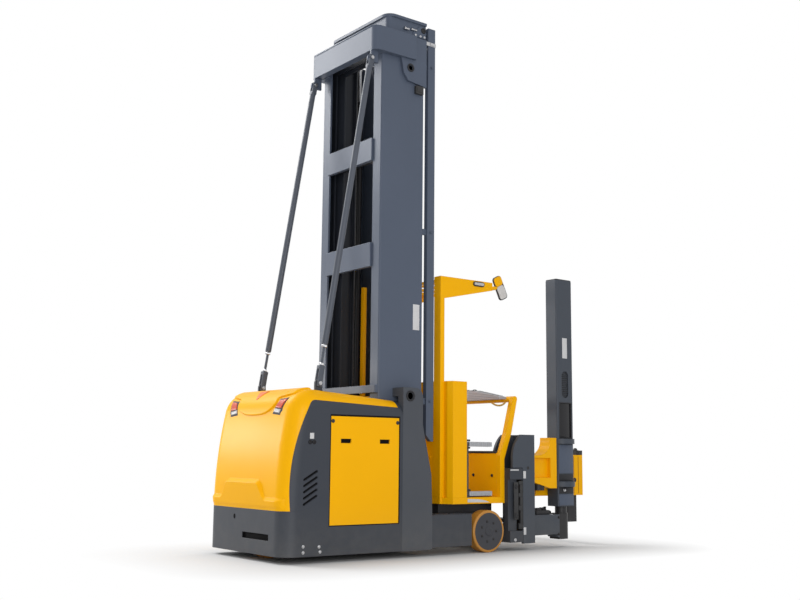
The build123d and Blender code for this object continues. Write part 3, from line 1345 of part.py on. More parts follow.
def fork_frame():
    """Fork carriage on the column's left face: two bars, end plates and a middle guide, with capped ends."""
    y0 = FORK_FRAME_INNER_Y
    y1 = y0 + FORK_FRAME_THICK
    rear = TURRET_STATION - FORK_FRAME_HALF_LENGTH
    front = TURRET_STATION + FORK_FRAME_HALF_LENGTH
    frame = block(rear, front, y0, y1, FORK_FRAME_LOW_Z, FORK_FRAME_LOW_Z + FORK_FRAME_BAR)
    frame += block(rear, front, y0, y1, FORK_FRAME_TOP_Z - FORK_FRAME_BAR, FORK_FRAME_TOP_Z)
    for x0, x1 in (
        (rear, rear + FORK_GUIDE_WIDTH),
        (TURRET_STATION - FORK_GUIDE_WIDTH / 2, TURRET_STATION + FORK_GUIDE_WIDTH / 2),
        (front - FORK_GUIDE_WIDTH, front),
    ):
        frame += block(x0, x1, y0, y1, FORK_FRAME_LOW_Z, FORK_FRAME_TOP_Z)
    return frame


def fork_caps():
    """Dark buffers on top of the fork carriage's ends."""
    y0 = FORK_FRAME_INNER_Y
    caps = []
    for side in RIGHT_AND_LEFT:
        edge = TURRET_STATION + side * FORK_FRAME_HALF_LENGTH
        x0, x1 = sorted((edge - side * FORK_CAP_WIDTH, edge))
        cap_top = FORK_FRAME_TOP_Z + FORK_CAP_HEIGHT
        caps.append(block(x0, x1, y0, y0 + FORK_FRAME_THICK, FORK_FRAME_TOP_Z, cap_top))
    return caps


def fork(centre):
    """One fork: an upright shank on the carriage and a blade that thins towards its tip."""
    y0 = FORK_FRAME_INNER_Y + FORK_FRAME_THICK
    x0 = centre - FORK_WIDTH / 2
    x1 = centre + FORK_WIDTH / 2
    blade_top = FORK_LOW_Z + FORK_THICK
    tip = y0 + FORK_THICK + FORK_LENGTH
    points = [
        (y0, FORK_LOW_Z),
        (tip, FORK_LOW_Z),
        (tip, FORK_LOW_Z + FORK_TIP_THICK),
        (tip - FORK_TIP_TAPER, blade_top),
        (y0 + FORK_THICK, blade_top),
        (y0 + FORK_THICK, FORK_FRAME_TOP_Z),
        (y0, FORK_FRAME_TOP_Z),
    ]
    plane = Plane(origin=(x0, 0, 0), x_dir=(0, 1, 0), z_dir=(1, 0, 0))
    solid = extrude(plane * make_face(Polyline(*points, close=True)), x1 - x0)
    tips = [edge for edge in solid.edges().filter_by(Axis.Z) if edge.center().Y > tip - 1]
    return fillet(tips, FORK_TIP_ROUND)


def wheel_set():
    """Drive wheel under the turntable and the two load wheels on the legs."""
    drive_half = DRIVE_WIDTH / 2
    drive = wheel(DRIVE_STATION, DRIVE_RADIUS, -drive_half, drive_half, DRIVE_TYRE_DEPTH, DRIVE_AXLE_RADIUS)
    nodes = {"drive_disc": drive[0], "drive_tyre": drive[1]}
    for name, side in (("right", -1), ("left", 1)):
        y0, y1 = sorted((side * (HALF_WIDTH - WHEEL_WIDTH), side * HALF_WIDTH))
        disc, tyre = wheel(WHEEL_STATION, WHEEL_RADIUS, y0, y1, WHEEL_TYRE_DEPTH, LOAD_AXLE_RADIUS)
        nodes[f"load_disc_{name}"] = disc
        nodes[f"load_tyre_{name}"] = tyre
    return nodes


def all_nodes():
    """Every node of the truck by name; a list is several solids that share a node."""
    nodes = chassis_panels()
    nodes["battery"] = battery()
    nodes["stays"] = [stay(side) for side in RIGHT_AND_LEFT]
    nodes["mast_floor"] = mast_floor()
    nodes["cross_beams"] = cross_beams()
    nodes["outer_crown"] = outer_crown()
    nodes["hose_duct"] = hose_duct()
    nodes["lift_cylinders"] = [lift_cylinder(side) for side in RIGHT_AND_LEFT]
    nodes["load_axles"] = [load_axle(side) for side in RIGHT_AND_LEFT]
    nodes["steer_fork"] = steer_fork()
    nodes["middle_crown"] = middle_crown()
    nodes["middle_stage"] = middle_stage()
    nodes["cylinder_rods"] = [cylinder_rod(side) for side in RIGHT_AND_LEFT]
    nodes["lift_chains"] = [chain(side) for side in RIGHT_AND_LEFT]
    nodes["inner_stage"] = inner_stage()
    nodes["cab_carriage"] = cab_carriage()
    nodes["cab_floor"] = cab_floor()
    nodes["cab_underframe"] = cab_underframe()
    nodes["cab_back"] = cab_back()
    nodes["cab_front"] = cab_front()
    nodes["front_frame"] = front_frame()
    nodes["guard_sides"] = [cab_post(side) + guard_arm(side) for side in RIGHT_AND_LEFT]
    nodes["guard_roof"] = guard_roof()
    nodes["mirror"] = mirror_pad()
    nodes["backrest"] = backrest()
    nodes["console"] = console()
    nodes["traverse_frame"] = traverse_frame()
    nodes["shift_plates"] = [shift_plate(-HALF_WIDTH), shift_plate(-HALF_WIDTH + SHIFT_WIDTH - SHIFT_PLATE)]
    nodes["shift_body"] = shift_body()
    nodes["lower_arm"] = lower_arm()
    nodes["slew_drive"] = [slew_drive(), slew_drum()]
    nodes["upper_arm"] = upper_arm()
    nodes["swing_column"] = swing_column()
    nodes["journal_bands"] = journal_bands()
    nodes["fork_frame"] = fork_frame()
    nodes["fork_caps"] = fork_caps()
    nodes["forks"] = [fork(TURRET_STATION + side * FORK_CENTRE) for side in RIGHT_AND_LEFT]
    for name, side in (("right", -1), ("left", 1)):
        nodes[f"battery_door_{name}"] = battery_door(side)
        nodes[f"leg_{name}"] = leg(side)
        nodes[f"mast_foot_{name}"] = mast_foot(side)
        nodes[f"outer_column_{name}"] = outer_column(side)
        nodes[f"cab_quarter_{name}"] = cab_quarter(side)
        nodes[f"gate_{name}"] = gate(side)
    nodes.update(wheel_set())
    return nodes


def write_nodes():
    """Write each node to its own file, moved so that the origin is at the middle of the truck's length."""
    os.makedirs("parts", exist_ok=True)
    centre = Pos(-OVERALL_LENGTH / 2, 0, 0)
    for name, shape in all_nodes().items():
        solids = [shape] if not isinstance(shape, list) else shape
        parts = [solid for item in solids for solid in item.solids()]
        placed = [centre * solid for solid in parts]
        export_step(placed[0] if len(placed) == 1 else Compound(children=placed), f"parts/{name}.step")


write_nodes()
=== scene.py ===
import json
import math

import bmesh
import bpy
from mathutils import Matrix, Quaternion, Vector
from mathutils.bvhtree import BVHTree


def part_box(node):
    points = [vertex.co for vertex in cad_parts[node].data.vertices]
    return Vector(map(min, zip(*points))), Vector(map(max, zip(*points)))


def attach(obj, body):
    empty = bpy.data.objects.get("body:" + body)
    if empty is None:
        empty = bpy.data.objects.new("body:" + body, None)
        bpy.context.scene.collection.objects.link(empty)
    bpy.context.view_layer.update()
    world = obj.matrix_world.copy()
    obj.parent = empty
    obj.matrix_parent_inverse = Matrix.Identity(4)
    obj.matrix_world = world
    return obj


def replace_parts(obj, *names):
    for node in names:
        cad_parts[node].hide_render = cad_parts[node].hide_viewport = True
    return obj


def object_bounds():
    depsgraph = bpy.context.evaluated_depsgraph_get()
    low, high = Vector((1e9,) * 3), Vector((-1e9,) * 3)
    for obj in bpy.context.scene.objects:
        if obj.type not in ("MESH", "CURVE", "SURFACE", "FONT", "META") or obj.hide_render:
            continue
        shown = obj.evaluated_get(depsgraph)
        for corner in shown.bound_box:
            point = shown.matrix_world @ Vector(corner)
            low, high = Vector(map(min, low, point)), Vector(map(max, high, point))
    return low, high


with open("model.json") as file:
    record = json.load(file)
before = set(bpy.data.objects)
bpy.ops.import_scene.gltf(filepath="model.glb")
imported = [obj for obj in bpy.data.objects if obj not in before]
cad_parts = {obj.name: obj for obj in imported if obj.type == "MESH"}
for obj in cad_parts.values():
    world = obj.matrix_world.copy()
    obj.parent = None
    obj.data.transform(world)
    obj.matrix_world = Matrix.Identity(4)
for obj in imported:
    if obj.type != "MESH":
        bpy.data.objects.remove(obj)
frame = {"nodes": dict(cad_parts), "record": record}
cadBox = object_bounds()
nodes = frame["nodes"]
scene = bpy.context.scene
rear = cadBox[0][0]  # x of the truck's rear face
print("stage: frame loaded,", len(nodes), "nodes")


# Shader maths: a wrapped socket takes + - * / > < and gives Math nodes
class Value:
    def __init__(self, paint, socket):
        self.paint = paint
        self.socket = socket

    def __add__(self, other):
        return self.paint.maths("ADD", self, other)

    def __radd__(self, other):
        return self.paint.maths("ADD", other, self)

    def __sub__(self, other):
        return self.paint.maths("SUBTRACT", self, other)

    def __rsub__(self, other):
        return self.paint.maths("SUBTRACT", other, self)

    def __mul__(self, other):
        return self.paint.maths("MULTIPLY", self, other)

    def __rmul__(self, other):
        return self.paint.maths("MULTIPLY", other, self)

    def __truediv__(self, other):
        return self.paint.maths("DIVIDE", self, other)

    def __rtruediv__(self, other):
        return self.paint.maths("DIVIDE", other, self)

    def __gt__(self, other):
        return self.paint.maths("GREATER_THAN", self, other)

    def __lt__(self, other):
        return self.paint.maths("LESS_THAN", self, other)

    def clamped(self):
        return self.paint.maths("MINIMUM", self.paint.maths("MAXIMUM", self, 0.0), 1.0)

    def sine(self):
        return self.paint.maths("SINE", self)


# Node tree of a material, or of the world where one is given
class Paint:
    def __init__(self, name, owner=None):
        self.owner = owner or bpy.data.materials.new(name)
        self.owner.use_nodes = True
        self.tree = self.owner.node_tree
        self.tree.nodes.clear()

    # any node: its type, its settings, then values or links for its sockets
    def node(self, kind, settings=None, inputs=None, output=0):
        made = self.tree.nodes.new(kind)
        for key, value in (settings or {}).items():
            if key == "stops":
                for element, (place, shade) in zip(made.color_ramp.elements, value):
                    element.position = place
                    element.color = (shade, shade, shade, 1.0)
            else:
                setattr(made, key, value)
        for key, value in (inputs or {}).items():
            if isinstance(value, Value):
                self.tree.links.new(value.socket, made.inputs[key])
            else:
                made.inputs[key].default_value = value
        return Value(self, made.outputs[output]) if made.outputs else made

    def maths(self, operation, first, second=0.0):
        return self.node("ShaderNodeMath", {"operation": operation}, {0: first, 1: second})

    def place(self):
        return self.node("ShaderNodeTexCoord", output="Object")

    def noise(self, scale, detail=3.0, rough=0.55, stretch=None):
        place = self.place()
        if stretch:
            place = self.node("ShaderNodeMapping", {}, {"Vector": place, "Scale": stretch})
        inputs = {"Vector": place, "Scale": scale, "Detail": detail, "Roughness": rough}
        return self.node("ShaderNodeTexNoise", {}, inputs)

    def axes(self):
        split = self.node("ShaderNodeSeparateXYZ", {}, {0: self.place()})
        outputs = split.socket.node.outputs
        return [Value(self, outputs[index]) for index in range(3)]

    def blendColour(self, factor, first, second):
        inputs = {0: factor}
        for socket, shade in ((6, first), (7, second)):
            inputs[socket] = shade if isinstance(shade, Value) else (*shade, 1.0)
        return self.node("ShaderNodeMix", {"data_type": "RGBA"}, inputs, 2)

    # normal that rounds the edges in the render
    def softEdge(self, radius):
        return self.node("ShaderNodeBevel", {"samples": 6}, {"Radius": radius})

    def bump(self, height, strength, distance, normal=None):
        inputs = {"Height": height, "Strength": strength, "Distance": distance}
        if normal:
            inputs["Normal"] = normal
        return self.node("ShaderNodeBump", {}, inputs)

    # 1 for the rays that show the background: from the camera, in gloss and through glass
    def seen(self):
        camera, gloss, glass = [
            self.node("ShaderNodeLightPath", {}, {}, "Is " + kind + " Ray")
            for kind in ("Camera", "Glossy", "Transmission")
        ]
        return self.maths("MAXIMUM", camera, self.maths("MAXIMUM", gloss, glass))

    def finish(self, **inputs):
        sockets = {key.replace("_", " "): value for key, value in inputs.items()}
        shader = self.node("ShaderNodeBsdfPrincipled", {}, sockets)
        self.node("ShaderNodeOutputMaterial", {}, {"Surface": shader})
        return self.owner


def shaded(colour, share):
    return tuple(min(1.0, part * share) for part in colour)


# Sprayed paint: colour drifts a little, faint peel in the gloss, dust low down, edges catch the light
paintBase = {
    "driftScale": 1.3, "driftShade": 0.93, "driftStops": [(0.3, 0.0), (0.7, 1.0)],
    "peelScale": 260.0, "peel": 0.06, "peelDeep": 0.002, "rough": 0.42, "roughDrift": 0.12,
    "coat": 0.0, "coatRough": 0.1, "specular": 0.25, "edge": 0.006,
    "dust": 0.35, "dustHeight": 0.5, "dustScale": 9.0, "dustColour": (0.20, 0.19, 0.17),
}


def sprayedPaint(name, look):
    paint = Paint(name)
    drift = paint.noise(look["driftScale"], 4.0)
    speck = paint.noise(look["peelScale"], 2.0)
    share = paint.node("ShaderNodeValToRGB", {"stops": look["driftStops"]}, {0: drift})
    colour = paint.blendColour(share, look["colour"], shaded(look["colour"], look["driftShade"]))
    height = paint.axes()[2]
    low = (1.0 - height / look["dustHeight"]).clamped() * look["dust"]
    patchy = paint.noise(look["dustScale"], 5.0)
    colour = paint.blendColour(low * patchy, colour, look["dustColour"])
    return paint.finish(
        Base_Color=colour, Metallic=0.0, Roughness=look["rough"] + (drift - 0.5) * look["roughDrift"],
        Normal=paint.bump(speck, look["peel"], look["peelDeep"], paint.softEdge(look["edge"])),
        Coat_Weight=look["coat"], Coat_Roughness=look["coatRough"], Specular_IOR_Level=look["specular"],
    )


def painted(colour, **changes):
    return dict(paintBase, colour=colour, **changes)


yellowLook = painted(
    (0.94, 0.458, 0.0), rough=0.4, coat=0.04, coatRough=0.12, dust=0.1, driftShade=0.97, specular=0.1)
cowlLook = dict(yellowLook, coat=0.11, coatRough=0.27, specular=0.06)
chassisLook = painted((0.041, 0.047, 0.060), rough=0.48)
mastLook = painted((0.083, 0.103, 0.146), dust=0.0)
headLook = painted((0.056, 0.066, 0.084), rough=0.45)
footLook = painted((0.068, 0.075, 0.089), rough=0.48)
stayLook = painted((0.085, 0.096, 0.120), dust=0.0)
# orange-brown, the yellow paint as it looks in shade: painted shade for grooves
grooveShadeLook = painted((0.42, 0.16, 0.0), rough=0.5, dust=0.0)
# darker than the mast paint: painted shade for the inner and middle stages inside the mast
railShadeLook = painted((0.016, 0.019, 0.026), rough=0.38, dust=0.0)
blackLook = painted((0.014, 0.014, 0.016), driftShade=1.5, dust=0.2)
gateLook = painted((0.42, 0.43, 0.45), rough=0.4, dust=0.0)
discLook = painted((0.046, 0.048, 0.058), rough=0.5, dust=0.15)
plateLook = painted((0.62, 0.62, 0.63), rough=0.5, dust=0.0, edge=0.001)
orangeLook = painted((0.80, 0.17, 0.01), rough=0.4, dust=0.0)
loopLook = painted((0.80, 0.62, 0.20), rough=0.35)
# pale grey paint on the mirror glass: painted reflection
mirrorReflectionLook = painted((0.60, 0.58, 0.56), rough=0.12, dust=0.0, coat=0.5, specular=0.5)

# Split paint: dark behind a station, for the gate's hinge tube
splitLook = dict(
    gateLook, dark=(0.02, 0.02, 0.022), station=2138, driftScale=6.0, driftShade=0.86, rough=0.42,
    roughDrift=0.15, edge=0.003,
)


def splitPaint(name, look):
    paint = Paint(name)
    along = paint.axes()[0]
    drift = paint.noise(look["driftScale"], 4.0)
    light = paint.blendColour(drift, look["colour"], shaded(look["colour"], look["driftShade"]))
    return paint.finish(
        Base_Color=paint.blendColour(along > rear + look["station"] / 1000, look["dark"], light),
        Roughness=look["rough"] + (drift - 0.5) * look["roughDrift"], Normal=paint.softEdge(look["edge"]),
    )


# Moulded grip: crossing ribs
deskLook = {
    "colour": (0.21, 0.21, 0.24), "pale": (0.46, 0.45, 0.48), "ribs": 300.0, "slant": 0.6, "ribHigh": 0.5,
    "ribDeep": 0.003, "rough": 0.5, "roughDrift": 0.2, "driftScale": 5.0,
}


def hatched(name, look):
    paint = Paint(name)
    x, y, z = paint.axes()
    rising = ((y + z * look["slant"] + x) * look["ribs"]).sine()
    falling = ((y - z * look["slant"] - x) * look["ribs"]).sine()
    rib = rising * falling * 0.5 + 0.5
    drift = paint.noise(look["driftScale"])
    colour = paint.blendColour((rib * 1.4 - 0.2).clamped(), look["colour"], look["pale"])
    return paint.finish(
        Base_Color=colour, Roughness=look["rough"] + (drift - 0.5) * look["roughDrift"],
        Normal=paint.bump(rib, look["ribHigh"], look["ribDeep"]),
    )


# Brushed steel: streaks along one axis, stains across it
steelLook = {
    "colour": (0.56, 0.56, 0.57), "stainScale": 3.0, "stainShade": 0.72, "rough": 0.3, "roughDrift": 0.25,
    "streakScale": 40.0, "stretch": (1.0, 1.0, 0.06), "streak": 0.08, "streakDeep": 0.001, "edge": 0.0015,
}
chainLook = dict(steelLook, colour=(0.20, 0.19, 0.18), rough=0.42, streakScale=60.0, stretch=(1.0, 1.0, 0.3))


def brushedSteel(name, look):
    paint = Paint(name)
    streak = paint.noise(look["streakScale"], 5.0, 0.6, look["stretch"])
    stain = paint.noise(look["stainScale"], 4.0)
    return paint.finish(
        Base_Color=paint.blendColour(stain, look["colour"], shaded(look["colour"], look["stainShade"])),
        Metallic=1.0, Roughness=look["rough"] + (streak - 0.5) * look["roughDrift"],
        Normal=paint.bump(streak, look["streak"], look["streakDeep"], paint.softEdge(look["edge"])),
    )


# Cast rubber, urethane and plastic: a fine grain and a cloudy colour
rubberLook = {
    "colour": (0.016, 0.016, 0.017), "shade": 1.7, "cloudScale": 4.0, "rough": 0.68, "roughDrift": 0.2,
    "grainScale": 320.0, "grain": 0.2, "grainDeep": 0.001, "edge": 0.003, "specular": 0.5,
}
tyreLook = dict(
    rubberLook, colour=(0.56, 0.25, 0.035), shade=0.72, rough=0.5, grainScale=180.0, grain=0.15, edge=0.004)
plasticLook = dict(
    rubberLook, colour=(0.022, 0.022, 0.024), shade=1.3, rough=0.45, grainScale=420.0, grain=0.12, edge=0.002)
glassLook = dict(
    rubberLook, colour=(0.008, 0.008, 0.01), shade=1.5, rough=0.14, grainScale=40.0, grain=0.02, edge=0.002,
    specular=0.3)
# near-black and nearly matte: painted shade for the insides of slots, holes, pockets and gaps
shadeLook = dict(
    rubberLook, colour=(0.003, 0.003, 0.0035), shade=1.4, rough=0.85, grainScale=90.0, grain=0.1, edge=0.001,
    specular=0.12)


def castRubber(name, look):
    paint = Paint(name)
    grain = paint.noise(look["grainScale"], 4.0)
    cloud = paint.noise(look["cloudScale"])
    return paint.finish(
        Base_Color=paint.blendColour(cloud, look["colour"], shaded(look["colour"], look["shade"])),
        Roughness=look["rough"] + (grain - 0.5) * look["roughDrift"], Specular_IOR_Level=look["specular"],
        Normal=paint.bump(grain, look["grain"], look["grainDeep"], paint.softEdge(look["edge"])),
    )


# Lamp lenses: faint level ribs under a hazy face
lensLook = {
    "colour": (0.50, 0.055, 0.018), "hazeScale": 30.0, "hazeShade": 1.25, "ribs": 420.0, "ribHigh": 0.04,
    "ribDeep": 0.002, "rough": 0.3, "roughDrift": 0.06, "coat": 0.05, "coatRough": 0.2, "specular": 0.25,
}
clearLook = dict(lensLook, colour=(0.46, 0.45, 0.45), ribs=520.0)


def lampLens(name, look):
    paint = Paint(name)
    height = paint.axes()[2]
    ribs = (height * look["ribs"]).sine() * 0.5 + 0.5
    haze = paint.noise(look["hazeScale"])
    return paint.finish(
        Base_Color=paint.blendColour(haze, look["colour"], shaded(look["colour"], look["hazeShade"])),
        Roughness=look["rough"] + haze * look["roughDrift"],
        Normal=paint.bump(ribs, look["ribHigh"], look["ribDeep"]),
        Coat_Weight=look["coat"], Coat_Roughness=look["coatRough"], Specular_IOR_Level=look["specular"],
    )


finishes = {
    "body_yellow": sprayedPaint("yellowPaint", yellowLook),
    "chassis_grey": sprayedPaint("chassisPaint", chassisLook),
    "mast_grey": sprayedPaint("mastPaint", mastLook),
    "black_steel": sprayedPaint("blackPaint", blackLook),
    "gate_grey": sprayedPaint("gatePaint", gateLook),
    "wheel_disc": sprayedPaint("discPaint", discLook),
    "tyre_amber": castRubber("tyreUrethane", tyreLook),
    "bare_steel": brushedSteel("brightSteel", steelLook),
    "chain_steel": brushedSteel("oiledSteel", chainLook),
    "buffer_black": castRubber("bufferRubber", rubberLook),
    "pad_black": castRubber("padSkin", rubberLook),
    "mirror_shell": castRubber("shellPlastic", plasticLook),
    "lamp_red": lampLens("redLens", lensLook),
    # pale grey paint standing in for the mirror's reflection
    "mirror_glass": sprayedPaint("mirrorGlass", mirrorReflectionLook),
}
for row in frame["record"]["subparts"]:
    node = nodes[row["node"]]
    node.data.materials.clear()
    node.data.materials.append(finishes[row["material_slot"]])

# nodes that look unlike the rest of their slot
cowlPaint = sprayedPaint("cowlPaint", cowlLook)
stayPaint = sprayedPaint("stayPaint", stayLook)
ownFinish = [
    (cowlPaint, ["rear_cowl"]),
    (hatched("deskGrip", deskLook), ["console"]),
    (castRubber("lampHousing", plasticLook), ["tail_lamps"]),
    (splitPaint("gateSplit", splitLook), ["gate_left", "gate_right"]),
    (stayPaint, ["stays"]),
    (sprayedPaint("footPaint", footLook), ["mast_foot_left", "mast_foot_right"]),
    # the inner and middle stages take the darker paint as painted shade inside the mast
    (sprayedPaint("railShadePaint", railShadeLook), ["middle_stage", "inner_stage"]),
    (sprayedPaint("headPaint", headLook), [
        "shift_plates", "shift_body", "lower_arm", "swing_column", "journal_bands"]),
]
for material, names in ownFinish:
    for name in names:
        nodes[name].data.materials[0] = material

# finishes of the scene's own pieces
# near-black finish: painted shade inside the tow slot, bumper holes, vents, door pockets and door gaps
shadeBlack = castRubber("paintedShade", shadeLook)
blankWhite = sprayedPaint("blankPlate", plateLook)
clearLens = lampLens("clearLens", clearLook)
darkGlass = castRubber("darkGlass", glassLook)
print("stage: finishes on the frame")


# Mesh stock: every place is a station in mm from the truck's rear face, with y left and z up
axisLine = {"s": Vector((1, 0, 0)), "y": Vector((0, 1, 0)), "z": Vector((0, 0, 1))}
rightFace, leftFace, backFace, upFace = (0, -1, 0), (0, 1, 0), (-1, 0, 0), (0, 0, 1)
sides = {"Right": -1, "Left": 1}
sideFace = {-1: rightFace, 1: leftFace}


def spot(s, y, z):
    return Vector((rear + s / 1000, y / 1000, z / 1000))


# y of a node's outer face on one side
def outerFace(name, side):
    low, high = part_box(name)
    return (high.y if side > 0 else low.y) * 1000


# 0 to 1 with a soft start and end
def eased(share):
    share = min(1.0, max(0.0, share))
    return share * share * (3 - 2 * share)


def rounded(shape, edge):
    if edge > 0:
        bmesh.ops.bevel(
            shape, geom=shape.edges[:], offset=edge / 1000, segments=2, profile=0.5, affect="EDGES",
            clamp_overlap=True,
        )
    return shape


def block(low, high, edge):
    shape = bmesh.new()
    bmesh.ops.create_cube(shape, size=1.0)
    first, last = spot(*low), spot(*high)
    middle, span = (first + last) / 2, last - first
    for point in shape.verts:
        point.co = Vector([middle[i] + point.co[i] * abs(span[i]) for i in range(3)])
    return rounded(shape, edge)


# flat outline in the two axes other than the one it is pulled along
def plate(outline, axis, start, stop, edge):
    low, high = sorted((start, stop))
    order = {"s": (2, 0, 1), "y": (0, 2, 1), "z": (0, 1, 2)}[axis]
    shape = bmesh.new()
    corners = [spot(*[(a, b, low)[k] for k in order]) for a, b in outline]
    face = shape.faces.new([shape.verts.new(corner) for corner in corners])
    for item in bmesh.ops.extrude_face_region(shape, geom=[face])["geom"]:
        if isinstance(item, bmesh.types.BMVert):
            item.co += axisLine[axis] * (high - low) / 1000
    return rounded(shape, edge)


# profile of (radius, along) turned about a line; six sides make a nut
def turned(profile, centre, axis, count=28):
    line = axisLine[axis] if isinstance(axis, str) else Vector(axis).normalized()
    side = line.orthogonal().normalized()
    up = line.cross(side)
    shape = bmesh.new()
    rings = []
    for radius, along in profile:
        middle = spot(*centre) + line * along / 1000
        ring = []
        for step in range(count):
            angle = math.tau * step / count
            out = side * math.cos(angle) + up * math.sin(angle)
            ring.append(shape.verts.new(middle + out * radius / 1000))
        rings.append(ring)
    for first, second in zip(rings, rings[1:]):
        for i in range(count):
            j = (i + 1) % count
            shape.faces.new((first[i], first[j], second[j], second[i]))
    shape.faces.new(rings[0][::-1])
    shape.faces.new(rings[-1])
    return shape


# bent round bar on one smooth spline
def bar(points, radius):
    data = bpy.data.curves.new("barLine", "CURVE")
    data.dimensions = "3D"
    data.bevel_depth = radius / 1000
    data.bevel_resolution = 4
    data.resolution_u = 10
    data.use_fill_caps = True
    line = data.splines.new("NURBS")
    line.points.add(len(points) - 1)
    for point, place in zip(line.points, points):
        point.co = (*spot(*place), 1.0)
    line.order_u = 3
    line.use_endpoint_u = True
    holder = bpy.data.objects.new("barLine", data)
    mesh = bpy.data.meshes.new_from_object(holder)
    shape = bmesh.new()
    shape.from_mesh(mesh)
    bpy.data.objects.remove(holder)
    bpy.data.meshes.remove(mesh)
    bmesh.ops.remove_doubles(shape, verts=shape.verts[:], dist=1e-5)
    return shape


def turnShape(shape, degrees, axis, centre):
    turn = Matrix.Rotation(math.radians(degrees), 3, axis)
    bmesh.ops.rotate(shape, cent=spot(*centre), matrix=turn, verts=shape.verts[:])
    return shape


# outline with round ends
def stadium(centreA, centreB, length, height, steps=8):
    run = (length - height) / 2
    points = []
    for side, start in ((1, -90), (-1, 90)):
        for step in range(steps + 1):
            angle = math.radians(start + 180 * step / steps)
            across = centreA + side * run + math.cos(angle) * height / 2
            points.append((across, centreB + math.sin(angle) * height / 2))
    return points


def skin(*names):
    shape = bmesh.new()
    for name in names:
        shape.from_mesh(nodes[name].data)
    tree = BVHTree.FromBMesh(shape)
    shape.free()
    return tree


# steps from 0 to 1, closer together at both ends
def crowded(step, count):
    return (1 - math.cos(math.pi * step / count)) / 2


# thin closed shell laid on a surface: ray(a, b) aims at it, and its rise in mm eases down at the borders
def laid(tree, ray, rise, sink, across, up, ease, share=None):
    shape = bmesh.new()
    grid = []
    for j in range(up + 1):
        row = []
        for i in range(across + 1):
            start, aim = ray(crowded(i, across), crowded(j, up))
            hit, normal = tree.ray_cast(start, aim)[:2]
            row.append((hit, -normal if normal.dot(aim) > 0 else normal))
        grid.append(row)

    def length(points):
        return sum((q[0] - p[0]).length for p, q in zip(points, points[1:])) * 1000

    wide = [length(row) for row in grid]
    tall = [length([row[i] for row in grid]) for i in range(across + 1)]
    top, under = [], []
    for j, row in enumerate(grid):
        for i, (hit, normal) in enumerate(row):
            a, b = crowded(i, across), crowded(j, up)
            border = min(min(a, 1 - a) * wide[j], min(b, 1 - b) * tall[i]) / ease
            border = min(1.0, max(0.0, border))
            level = eased(border) * share(a, b) if share else math.sqrt(1 - (1 - border) ** 2)
            top.append(shape.verts.new(hit + normal * rise * level / 1000))
            under.append(shape.verts.new(hit - normal * sink / 1000))
    count = across + 1
    for j in range(up):
        for i in range(across):
            k = j * count + i
            shape.faces.new((top[k], top[k + 1], top[k + count + 1], top[k + count]))
            shape.faces.new((under[k + count], under[k + count + 1], under[k + 1], under[k]))
    rim = list(range(across)) + [j * count + across for j in range(up)]
    rim += [up * count + across - i for i in range(across)] + [(up - j) * count for j in range(up)]
    for first, second in zip(rim, rim[1:] + rim[:1]):
        shape.faces.new((top[second], top[first], under[first], under[second]))
    return shape


def joined(name, shapes):
    whole = bmesh.new()
    for shape in shapes:
        bmesh.ops.recalc_face_normals(shape, faces=shape.faces[:])
        scrap = bpy.data.meshes.new("scrap")
        shape.to_mesh(scrap)
        shape.free()
        whole.from_mesh(scrap)
        bpy.data.meshes.remove(scrap)
    mesh = bpy.data.meshes.new(name)
    whole.to_mesh(mesh)
    whole.free()
    return mesh


def baked(holder):
    graph = bpy.context.evaluated_depsgraph_get()
    return bpy.data.meshes.new_from_object(holder.evaluated_get(graph))


def placed(name, mesh, body, slot, material=None, smooth=38.0):
    mesh.name = name
    mesh.materials.clear()
    mesh.materials.append(material or finishes[slot])
    mesh.polygons.foreach_set("use_smooth", [True] * len(mesh.polygons))
    mesh.set_sharp_from_angle(angle=math.radians(smooth))
    piece = bpy.data.objects.new(name, mesh)
    scene.collection.objects.link(piece)
    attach(piece, body)
    return piece


def emit(name, body, slot, shapes, material=None):
    return placed(name, joined(name, shapes), body, slot, material)


# Geometry Nodes for what repeats: the tree's named inputs, its nodes, then realised and painted
class Growth:
    def __init__(self, name, inputs):
        self.tree = bpy.data.node_groups.new(name, "GeometryNodeTree")
        face = self.tree.interface
        face.new_socket("Geometry", in_out="INPUT", socket_type="NodeSocketGeometry")
        for label, kind in inputs.items():
            face.new_socket(label, in_out="INPUT", socket_type="NodeSocket" + kind)
        face.new_socket("Material", in_out="INPUT", socket_type="NodeSocketMaterial")
        face.new_socket("Geometry", in_out="OUTPUT", socket_type="NodeSocketGeometry")
        self.entry = self.tree.nodes.new("NodeGroupInput").outputs

    def node(self, kind, settings=None, inputs=None):
        made = self.tree.nodes.new(kind)
        for key, value in (settings or {}).items():
            setattr(made, key, value)
        for key, value in (inputs or {}).items():
            if isinstance(value, bpy.types.NodeSocket):
                self.tree.links.new(value, made.inputs[key])
            else:
                made.inputs[key].default_value = value
        return made.outputs[0] if made.outputs else made

    def close(self, instances):
        real = self.node("GeometryNodeRealizeInstances", {}, {0: instances})
        shown = self.node("GeometryNodeSetMaterial", {}, {"Geometry": real, "Material": self.entry["Material"]})
        self.node("NodeGroupOutput", {}, {0: shown})
        return self.tree


# hex heads on washers, at points that carry the way they face
boltShape = {"headSides": 6, "washerSides": 14, "washerHigh": 0.003, "washerShare": 1.5}


